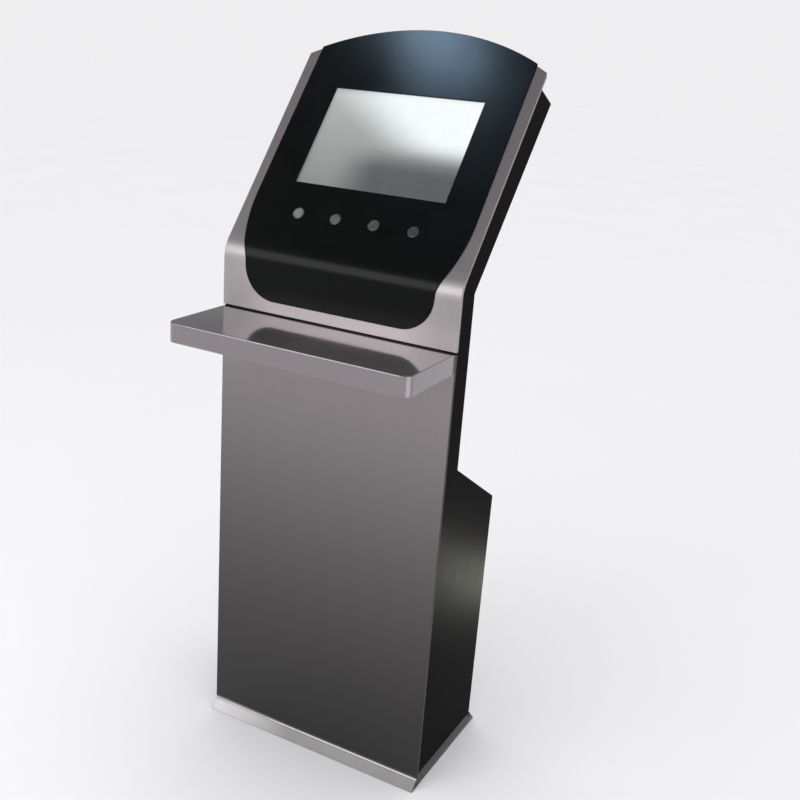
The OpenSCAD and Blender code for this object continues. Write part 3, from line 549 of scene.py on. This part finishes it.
def front_tone(foot, top, flare, bend, shelf):
    """The front sheet's tone: darker downwards as painted shade, standing in for a dark floor reflected low
    on the sheet, and lighter again on the flare below the bend as painted light, where it runs from pale at
    the left to a middle tone. A broken painted highlight lies in the bend."""

    def build(tree, place, cloud):
        height = along(tree, place, "Z")
        # Painted shade: darker towards the foot
        tone = mixed(tree, rising_share(tree, place, bend, shelf), foot, top)
        # Painted light on the flare, pale at the left and a middle tone further right
        pale_end, middle_end = tinted(flare, 2.1), tinted(flare, 0.72)
        reach = ramped(tree, along(tree, place, "X"), -0.24, -0.06)
        below = ramped(tree, height, bend + 0.001, bend - 0.005, smooth=True)
        tone = mixed(tree, below, tone, mixed(tree, reach, pale_end, middle_end))
        # A painted highlight along the bend, broken by the clouds
        line_low, line_high, fade = bend - 0.0085, bend - 0.0045, 0.0015
        above_low = ramped(tree, height, line_low, line_low + fade, smooth=True)
        under_high = ramped(tree, height, line_high, line_high - fade, smooth=True)
        patches = ramped(tree, cloud, 0.35, 0.55, 0.4, 1.0)
        return mixed(tree, product(tree, above_low, under_high, patches), tone, PAINTED_CREASE_HIGHLIGHT)

    return build


def face_tone(low, high, bottom, top):
    """The face sheet's tone: lighter low down in its middle than at its sides and above, a painted reflection
    of light from the shelf.
    """

    def build(tree, place, cloud):
        off_middle = math_node(tree, "ABSOLUTE", along(tree, place, "X"), 0.0)
        outward = ramped(tree, off_middle, 0.1, 0.25, 0.0, 0.7, smooth=True)
        rise = rising_share(tree, place, bottom, top)
        return mixed(tree, math_node(tree, "MAXIMUM", rise, outward), low, high)

    return build


def shelf_tone(base):
    """The shelf's tone: its top is darker than its edges, and most of all at the left, a painted shade
    standing in for the dark surround that the polished top reflects.
    """

    def build(tree, place, cloud):
        reach = ramped(tree, along(tree, place, "X"), -0.16, 0.06, smooth=True)
        shaded_top = tinted(base, 0.95)
        shaded_top = mixed(tree, reach, tinted(shaded_top, 0.55), shaded_top)
        return mixed(tree, ramped(tree, facing(tree, "Z"), 0.6, 0.9), base, shaded_top)

    return build


def even_tone(base):
    """The same tone all over."""
    return lambda tree, place, cloud: base


def silver_lacquer(
    name, tone_of, grain_axis, roughness, coat, coat_roughness=0.06, wear=0.5, shaded_sides=False
):
    """Silver lacquer on sheet steel, with metal flakes under a clear coat. tone_of makes its tone from the
    tree, the place and the clouds. The sheet's sideways faces may take a painted shade instead, dark and
    uncoated."""
    material, tree, shader = new_material(name)
    place = object_place(tree)
    stretch = {"x": (6.0, 260.0, 260.0), "z": (260.0, 260.0, 6.0)}[grain_axis]
    drawn = noise(tree, object_place(tree, stretch), 1.0, 3.0)
    fine = fine_surface(tree, place, roughness, 0.12, 2600.0, 5.0)
    edge = soft_edge(tree, place, wear, settings("sizes").edge_radius)
    flakes = ramped(tree, fine["Height"], 0.3, 0.7, 0.94, 1.06)
    streaks = ramped(tree, drawn, 0.3, 0.7, 0.985, 1.015)
    shade = product(tree, flakes, streaks)
    glitter = add_node(tree, "ShaderNodeCombineColor", {"Red": shade, "Green": shade, "Blue": shade})
    tone = tone_of(tree, place, fine["Cloud"])
    tone = mixed(tree, 1.0, tone, glitter.outputs["Color"], "MULTIPLY")
    tone = mixed(tree, edge["Mask"], tone, SILVER_WEAR)
    tone = mixed(tree, dust_film(tree, place, 0.1), tone, SILVER_DUST)
    # Faces that look sideways may take a painted shade in place of the lacquer
    if shaded_sides:
        sideways = math_node(tree, "ABSOLUTE", facing(tree, "X"), 0.0)
        side_shade = ramped(tree, sideways, 0.6, 0.75)
        tone = mixed(tree, side_shade, tone, PAINTED_SIDE_SHADE)
        tree.links.new(ramped(tree, side_shade, 0.0, 1.0, coat, 0.0), shader.inputs["Coat Weight"])
    else:
        shader.inputs["Coat Weight"].default_value = coat
    lines = relief(tree, drawn, edge["Normal"], 0.008, 0.0002)
    finish(tree, shader, tone, fine["Roughness"], relief(tree, fine["Height"], lines, 0.04, 0.00005))
    shader.inputs["Metallic"].default_value = 0.8
    shader.inputs["Coat Roughness"].default_value = coat_roughness
    return material


def bare_metal(name, base, roughness, grain, worn, spangle=0.0, wear=0.6):
    """Plated or turned metal with a fine grain, and zinc's flat crystals where there is a spangle."""
    material, tree, shader = new_material(name)
    place = object_place(tree)
    fine = fine_surface(tree, place, roughness, 0.18, grain, 30.0)
    edge = soft_edge(tree, place, wear, 0.0004)
    tone = mixed(tree, ramped(tree, fine["Cloud"], 0.3, 0.7), tinted(base, 0.86), base)
    if spangle:
        cells = add_node(tree, "ShaderNodeTexVoronoi", {"Vector": place, "Scale": spangle})
        crystal = add_node(tree, "ShaderNodeRGBToBW", {"Color": cells.outputs["Color"]})
        darker = ramped(tree, crystal.outputs["Val"], 0.2, 0.9, 0.0, 0.35)
        tone = mixed(tree, darker, tone, tinted(base, 0.6))
    tone = mixed(tree, edge["Mask"], tone, worn)
    normal = relief(tree, fine["Height"], edge["Normal"], 0.06, 0.00005)
    finish(tree, shader, tone, fine["Roughness"], normal)
    shader.inputs["Metallic"].default_value = 1.0
    return material


def clear_glass(name):
    """Polished float glass with faint wiping marks."""
    material, tree, shader = new_material(name)
    smears = {"Vector": object_place(tree, (14.0, 5.0, 9.0)), "Detail": 6.0}
    marks = add_node(tree, "ShaderNodeTexNoise", smears).outputs["Fac"]
    tree.links.new(ramped(tree, marks, 0.45, 0.8, 0.015, 0.09), shader.inputs["Roughness"])
    tint = mixed(tree, ramped(tree, marks, 0.3, 0.8), (0.93, 0.97, 0.96), (0.97, 0.99, 0.985))
    tree.links.new(tint, shader.inputs["Base Color"])
    shader.inputs["Transmission Weight"].default_value = 1.0
    shader.inputs["IOR"].default_value = 1.46
    return material


def blank_display(name):
    """The face of the display: a plain field with a fine pixel grid that glows by emission, with a painted
    reflection that makes it bright towards its upper right corner and dim towards its lower right one."""
    material, tree, shader = new_material(name)
    colours = settings("colours")
    low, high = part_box("lcd_panel")
    place = object_place(tree)
    across = ramped(tree, along(tree, place, "X"), low.x * 0.88, high.x * 0.88)
    bottom, top = low.z * 0.9 + high.z * 0.1, low.z * 0.1 + high.z * 0.9
    upward = ramped(tree, along(tree, place, "Z"), bottom, top)
    soft = noise(tree, place, 3.5, 1.0)
    slant = math_node(tree, "ADD", across, product(tree, upward, 0.9))
    slant = math_node(tree, "ADD", slant, product(tree, soft, 0.2))
    bright = product(
        tree,
        ramped(tree, slant, 0.85, 1.5, smooth=True),
        ramped(tree, upward, 0.3, 0.62, smooth=True),
    )
    dark = product(
        tree,
        ramped(tree, across, 0.15, 0.5, smooth=True),
        ramped(tree, upward, 0.52, 0.2, smooth=True),
    )
    middle = tuple(colours.display_middle)
    tone = mixed(tree, upward, tinted(middle, 0.62), tinted(middle, 1.3))
    tone = mixed(tree, bright, tone, tuple(colours.display_pale))
    tone = mixed(tree, dark, tone, tuple(colours.display_dim))
    grid = add_node(tree, "ShaderNodeTexChecker", {"Vector": place, "Scale": 1800.0})
    tone = mixed(tree, product(tree, grid.outputs["Fac"], 0.008), tone, (0.1, 0.1, 0.12))
    tree.links.new(tone, shader.inputs["Emission Color"])
    shader.inputs["Emission Strength"].default_value = 0.92
    tree.links.new(mixed(tree, 0.9, tone, (0.03, 0.03, 0.035)), shader.inputs["Base Color"])
    tree.links.new(ramped(tree, soft, 0.3, 0.7, 0.3, 0.42), shader.inputs["Roughness"])
    return material


# Pieces


def dress(material, *names):
    """These CAD nodes wear the material."""
    for name in names:
        mesh = frame["nodes"][name].data
        mesh.materials.clear()
        mesh.materials.append(material)


def round_corners(shape, reach, segments, where, clamp):
    """Rounds the outward corners that where names, and gives back the new faces."""
    sharp = [
        edge
        for edge in shape.edges
        if edge.is_manifold
        and edge.calc_face_angle_signed() > SHARP_CORNER
        and (where is None or where(edge))
    ]
    made = bmesh.ops.bevel(
        shape,
        geom=sharp,
        offset=reach,
        offset_type="OFFSET",
        segments=segments,
        profile=0.5,
        affect="EDGES",
        clamp_overlap=clamp,
        material=-1,
    )
    return set(made["faces"])


def softened(node, reach, segments, *materials, where=None, merge=MERGE_DEG):
    """A copy of a CAD node with its sharp edges rounded, which stands for the node. A second material goes on
    the rounded edges alone. Faces that lie flat to within merge degrees are made one first."""
    source = frame["nodes"][node]
    shape = bmesh.new()
    shape.from_mesh(source.data)
    bmesh.ops.remove_doubles(shape, verts=shape.verts, dist=WELD)
    bmesh.ops.dissolve_limit(
        shape, angle_limit=math.radians(merge), verts=shape.verts, edges=shape.edges
    )
    rounded = round_corners(shape, reach, segments, where, node in CLAMPED)
    for face in shape.faces:
        face.smooth = True
        face.material_index = 1 if face in rounded and len(materials) > 1 else 0
    for edge in shape.edges:
        inside = [face in rounded for face in edge.link_faces]
        limit = SMOOTH_ROUNDING if all(inside) else SMOOTH_PLAIN
        edge.smooth = len(set(inside)) == 1 and edge.calc_face_angle(math.pi) < limit
    mesh = bpy.data.meshes.new(node + "_rounded")
    shape.to_mesh(mesh)
    shape.free()
    for material in materials:
        mesh.materials.append(material)
    piece = bpy.data.objects.new(node + "_rounded", mesh)
    bpy.context.scene.collection.objects.link(piece)
    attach(piece, body_of(source)[0])
    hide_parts(node)


class KIOSK_OT_front_sheet(Operator):
    """Silver lacquer on the front sheet and its flared foot"""

    bl_idname = "kiosk.front_sheet"
    bl_label = "Front sheet"

    def execute(self, context):
        colours, sizes = settings("colours"), settings("sizes")
        tone = front_tone(
            tuple(colours.silver_foot),
            tuple(colours.silver_top),
            tuple(colours.silver_base),
            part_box("plinth")[1].z,
            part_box("keyboard_shelf")[1].z,
        )
        rough = sizes.lacquer_roughness
        front = silver_lacquer("silver_front", tone, "z", rough, 0.35, wear=0.1, shaded_sides=True)
        softened("lower_front_panel", sizes.sheet_edge, 2, front)
        return {"FINISHED"}


class KIOSK_OT_face_sheet(Operator):
    """Silver lacquer on the head's bent and arched face sheet"""

    bl_idname = "kiosk.face_sheet"
    bl_label = "Face sheet"

    def execute(self, context):
        sizes = settings("sizes")
        head = tuple(settings("colours").silver_head)
        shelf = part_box("keyboard_shelf")[1].z
        # Twice as light low in the middle: a painted reflection of light from the shelf
        tone = face_tone(tinted(head, 2.0), head, shelf - 0.05, shelf + 0.15)
        rough = sizes.lacquer_roughness * 1.2
        face = silver_lacquer("silver_face", tone, "z", rough, 0.45, 0.2)

        def above_seam(edge):
            return min(corner.co.z for corner in edge.verts) > shelf + SEAM_CLEAR

        softened("head_front_panel", sizes.sheet_edge, 2, face, where=above_seam)
        return {"FINISHED"}


class KIOSK_OT_shelf(Operator):
    """Polished silver lacquer on the keyboard shelf, with painted shade on its top and a painted highlight on
    its rounded upper edge
    """

    bl_idname = "kiosk.shelf"
    bl_label = "Keyboard shelf"

    def execute(self, context):
        sizes = settings("sizes")
        rough = sizes.lacquer_roughness
        ledge = tuple(settings("colours").silver_shelf)
        shelf = silver_lacquer(
            "silver_shelf", shelf_tone(ledge), "x", rough * 0.35, 0.4, 0.03, wear=1.0
        )
        # The rounded upper edge is lighter: a painted highlight
        rim_highlight_tone = even_tone(tinted(ledge, 1.15))
        rim = silver_lacquer("silver_shelf_edge", rim_highlight_tone, "x", rough * 0.6, 0.4, 0.1, wear=0.3)
        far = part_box("keyboard_shelf")[1]

        def upper_edge(edge):
            corners = [corner.co for corner in edge.verts]
            at_top = any(corner.z > far.z - ON_SIDE for corner in corners)
            return at_top and min(corner.y for corner in corners) < far.y - ON_SIDE

        softened("keyboard_shelf", sizes.shelf_edge, 4, shelf, rim, where=upper_edge)
        return {"FINISHED"}


class KIOSK_OT_plinth(Operator):
    """Silver lacquer on the plinth, darkened as painted shade"""

    bl_idname = "kiosk.plinth"
    bl_label = "Plinth"

    def execute(self, context):
        sizes = settings("sizes")
        # A quarter of the flare's colour: painted shade on the plinth's sides
        tone = even_tone(tinted(settings("colours").silver_base, 0.25))
        silver = silver_lacquer("silver_plinth", tone, "x", sizes.lacquer_roughness, 0.2)
        softened("plinth", sizes.sheet_edge, 2, silver, merge=PLINTH_MERGE_DEG)
        return {"FINISHED"}


class KIOSK_OT_black_sheets(Operator):
    """Black paint on the sides, the back, the doors and the top of the head"""

    bl_idname = "kiosk.black_sheets"
    bl_label = "Black sheets"

    def execute(self, context):
        colours = settings("colours")
        reach = settings("sizes").sheet_edge
        gloss = painted(
            "cabinet_black",
            tuple(colours.cabinet_black),
            roughness=0.42,
            spread=0.16,
            grain=1400.0,
            bump=0.12,
            wear=0.3,
            worn=grey(0.03),
            level=0.004,
            dust=0.03,
        )
        satin = painted(
            "back_black",
            tuple(colours.back_black),
            roughness=0.5,
            spread=0.16,
            grain=1100.0,
            bump=0.35,
            wear=0.4,
            worn=grey(0.1),
            level=0.3,
            dust=0.05,
        )
        for name in SIDE_SHEETS:
            softened(name, reach, 2, gloss)
        for name in BACK_SHEETS:
            softened(name, reach, 2, satin)
        for name in DOORS:
            softened(name, reach, 2, satin, where=self.clear_of_bores)
        return {"FINISHED"}

    @staticmethod
    def clear_of_bores(edge):
        """The short edges round the hinge bores stay sharp, so the pins keep their clearance."""
        return edge.calc_length() > BORE_FACET


class KIOSK_OT_bezel(Operator):
    """Gloss black bezel with rounded edges"""

    bl_idname = "kiosk.bezel"
    bl_label = "Bezel"

    def execute(self, context):
        sizes = settings("sizes")
        black = painted(
            "bezel_gloss",
            tuple(settings("colours").bezel_black),
            roughness=sizes.gloss,
            spread=0.1,
            grain=700.0,
            bump=0.02,
            wear=0.25,
            worn=grey(0.06),
            level=0.118,
            dust=0.01,
        )
        softened("bezel", sizes.bezel_edge, 3, black)
        return {"FINISHED"}


class KIOSK_OT_display(Operator):
    """The glass and the blank display behind it"""

    bl_idname = "kiosk.display"
    bl_label = "Display"

    def execute(self, context):
        dress(clear_glass("float_glass"), "touch_glass")
        dress(blank_display("display_face"), "lcd_panel")
        return {"FINISHED"}


class KIOSK_OT_buttons(Operator):
    """Satin metal on the four buttons and their rings, whose outer edges are dark"""

    bl_idname = "kiosk.buttons"
    bl_label = "Buttons"

    def execute(self, context):
        sizes = settings("sizes")
        base = tuple(settings("colours").button_metal)
        bright = tuple(min(1.0, channel * 2.5) for channel in base)
        metal = bare_metal("button_satin", base, 0.27, 1800.0, bright, wear=0.1)
        dark = bare_metal("button_ring_edge", tinted(base, 0.2), 0.3, 1800.0, base)
        for name in BUTTONS:
            softened(name, sizes.button_edge, 3, metal)
        rings = frame["nodes"]["button_housings"].data.vertices
        front = max(OUT_OF_SLOPE.dot(corner.co) for corner in rings)
        centres = [(low + high) / 2 for low, high in map(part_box, BUTTONS)]
        front_depth, least_radius = 0.0002, 0.012

        def outer_edge(edge):
            """At the rings' front, and far enough from a button's axis"""
            place = (edge.verts[0].co + edge.verts[1].co) / 2
            gaps = [place - centre for centre in centres]
            apart = min((gap - gap.dot(OUT_OF_SLOPE) * OUT_OF_SLOPE).length for gap in gaps)
            return OUT_OF_SLOPE.dot(place) > front - front_depth and apart > least_radius

        softened("button_housings", sizes.ring_edge, 4, metal, dark, where=outer_edge)
        return {"FINISHED"}


class KIOSK_OT_fittings(Operator):
    """Zinc-plated, foam and plastic fittings, and the computer's case"""

    bl_idname = "kiosk.fittings"
    bl_label = "Fittings"

    def execute(self, context):
        colours, sizes = settings("colours"), settings("sizes")
        zinc = bare_metal("zinc_plate", tuple(colours.zinc), 0.36, 500.0, grey(0.75), spangle=90.0)
        dress(zinc, *ZINC_PARTS)
        foam = painted(
            "black_foam",
            tuple(colours.foam_black),
            roughness=0.85,
            spread=0.1,
            grain=900.0,
            bump=0.7,
            wear=0.0,
            level=0.2,
        )
        dress(foam, *FOAM_PARTS)
        plastic = painted(
            "black_plastic",
            tuple(colours.plastic_black),
            roughness=0.5,
            spread=0.12,
            grain=1500.0,
            bump=0.25,
            wear=0.15,
        )
        dress(plastic, "power_inlet", "fan_rotor")
        softened("fan_frame", sizes.sheet_edge, 2, plastic)
        softened("power_supply", sizes.case_edge, 3, plastic)
        case = painted(
            "computer_case",
            tuple(colours.computer_grey),
            roughness=0.6,
            spread=0.1,
            grain=1100.0,
            bump=0.45,
            wear=0.4,
        )
        softened("computer", sizes.case_edge, 3, case)
        return {"FINISHED"}


# Studio


def aimed(direction):
    """The turn that points a lamp along a direction."""
    return direction.to_track_quat("-Z", "Y").to_euler()


def area_lamp(name, stage):
    """A soft rectangular lamp that the camera doesn't see, which may light some pieces alone."""
    plan = LAMPS[name]
    lamp = bpy.data.lights.new(name, "AREA")
    lamp.shape = "RECTANGLE"
    lamp.size, lamp.size_y = plan["size"]
    lamp.energy = getattr(stage, plan["power"])
    lamp.color = plan.get("tint", (1.0, 1.0, 1.0))
    body = bpy.data.objects.new(name, lamp)
    body.location = plan["place"]
    body.rotation_euler = aimed(Vector(plan["target"]) - Vector(plan["place"]))
    body.visible_camera = False
    bpy.context.scene.collection.objects.link(body)
    if "lights" in plan:
        lit = bpy.data.collections.new("lit_by_" + name)
        for node in plan["lights"]:
            lit.objects.link(bpy.data.objects[node + "_rounded"])
        body.light_linking.receiver_collection = lit


def sky_lamp(strength):
    """Soft light from above that leaves no glint."""
    sky = bpy.data.lights.new("sky_lamp", "SUN")
    sky.energy = strength
    sky.angle = SKY_SPREAD
    lamp = bpy.data.objects.new("sky_lamp", sky)
    lamp.rotation_euler = aimed(SKY_DIRECTION)
    lamp.visible_glossy = False
    bpy.context.scene.collection.objects.link(lamp)


class KIOSK_OT_studio(Operator):
    """Pale floor, soft lamps, a pale surround and the camera"""

    bl_idname = "kiosk.studio"
    bl_label = "Studio"

    def execute(self, context):
        stage = settings("stage")
        scene = context.scene
        scene.view_settings.view_transform = "Standard"
        self.make_floor(scene, tuple(stage.floor_colour))
        self.make_surround(scene)
        for name in LAMPS:
            area_lamp(name, stage)
        sky_lamp(stage.sky_power)
        self.make_camera(scene, stage)
        return {"FINISHED"}

    def make_floor(self, scene, base):
        """A wide pale floor."""
        mesh = bpy.data.meshes.new("floor")
        shape = bmesh.new()
        bmesh.ops.create_grid(shape, x_segments=2, y_segments=2, size=FLOOR_HALF)
        bmesh.ops.translate(shape, vec=(0.0, 0.0, -FLOOR_GAP), verts=shape.verts)
        shape.to_mesh(mesh)
        shape.free()
        floor = bpy.data.objects.new("floor", mesh)
        scene.collection.objects.link(floor)
        material, tree, shader = new_material("pale_floor")
        fine = fine_surface(tree, object_place(tree), 0.7, 0.1, 220.0, 1.5)
        tone = mixed(tree, ramped(tree, fine["Cloud"], 0.3, 0.7), base, tinted(base, 0.985))
        tree.links.new(tone, shader.inputs["Base Color"])
        tree.links.new(fine["Roughness"], shader.inputs["Roughness"])
        shader.inputs["Specular IOR Level"].default_value = 0.1
        mesh.materials.append(material)

    def make_surround(self, scene):
        """A pale surround that is dimmer overhead, and dims lower down behind the kiosk."""
        world = bpy.data.worlds.new("pale_surround")
        scene.world = world
        world.use_nodes = True
        tree = world.node_tree
        tree.nodes.clear()
        output = add_node(tree, "ShaderNodeOutputWorld")
        way = add_node(tree, "ShaderNodeTexCoord").outputs["Generated"]
        height = along(tree, way, "Z")
        pale, dim = (0.858, 0.858, 0.87), (0.2, 0.2, 0.21)
        front = mixed(tree, ramped(tree, height, 0.35, 0.85, smooth=True), pale, dim)
        rear = mixed(tree, ramped(tree, height, 0.1, 0.32, smooth=True), pale, dim)
        rearward = ramped(tree, along(tree, way, "Y"), -0.2, 0.4, smooth=True)
        inputs = {"Color": mixed(tree, rearward, front, rear), "Strength": 1.0}
        light = add_node(tree, "ShaderNodeBackground", inputs)
        tree.links.new(light.outputs["Background"], output.inputs["Surface"])

    def make_camera(self, scene, stage):
        """The camera at the photograph's place."""
        lens = bpy.data.cameras.new("camera")
        lens.lens = stage.camera_lens
        lens.sensor_width = 36.0
        lens.clip_end = 200.0
        eye = bpy.data.objects.new("camera", lens)
        scene.collection.objects.link(eye)
        yaw, pitch, roll = stage.camera_yaw, stage.camera_pitch, stage.camera_roll
        flat = math.cos(pitch)
        ahead = Vector((-math.sin(yaw) * flat, math.cos(yaw) * flat, math.sin(pitch)))
        level = Vector((math.cos(yaw), math.sin(yaw), 0.0))
        above = level.cross(ahead)
        right = math.cos(roll) * level + math.sin(roll) * above
        up = math.cos(roll) * above - math.sin(roll) * level
        turn = Matrix((right, up, -ahead)).transposed()
        eye.matrix_world = Matrix.Translation(Vector(stage.camera_place)) @ turn.to_4x4()
        scene.camera = eye


class KIOSK_PT_panel(Panel):
    """Lists the kiosk's pieces and its settings"""

    bl_label = "Kiosk"
    bl_idname = "KIOSK_PT_panel"
    bl_space_type = "VIEW_3D"
    bl_region_type = "UI"
    bl_category = "Kiosk"

    def draw(self, context):
        layout = self.layout
        for piece in PIECES:
            layout.operator(piece.bl_idname)
        for name in GROUPS:
            group = settings(name)
            box = layout.box()
            for key in group.bl_rna.properties.keys():
                if key not in ("rna_type", "name"):
                    box.prop(group, key)


# The studio comes last, because its lamps name the rounded pieces
PIECES = (
    KIOSK_OT_front_sheet,
    KIOSK_OT_face_sheet,
    KIOSK_OT_shelf,
    KIOSK_OT_plinth,
    KIOSK_OT_black_sheets,
    KIOSK_OT_bezel,
    KIOSK_OT_display,
    KIOSK_OT_buttons,
    KIOSK_OT_fittings,
    KIOSK_OT_studio,
)
GROUPS = {"colours": KioskColours, "sizes": KioskSizes, "stage": KioskStage}


def register():
    """Adds the settings, the operators and the panel to Blender."""
    for group in GROUPS.values():
        bpy.utils.register_class(group)
    for piece in PIECES:
        bpy.utils.register_class(piece)
    bpy.utils.register_class(KIOSK_PT_panel)
    for name, group in GROUPS.items():
        setattr(bpy.types.Scene, "kiosk_" + name, PointerProperty(type=group))


def unregister():
    """Takes them out again."""
    for name in GROUPS:
        delattr(bpy.types.Scene, "kiosk_" + name)
    bpy.utils.unregister_class(KIOSK_PT_panel)
    for piece in reversed(PIECES):
        bpy.utils.unregister_class(piece)
    for group in reversed(list(GROUPS.values())):
        bpy.utils.unregister_class(group)


def main():
    """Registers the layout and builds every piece."""
    register()
    for piece in PIECES:
        group, name = piece.bl_idname.split(".")
        getattr(getattr(bpy.ops, group), name)()


if __name__ == "__main__":
    main()
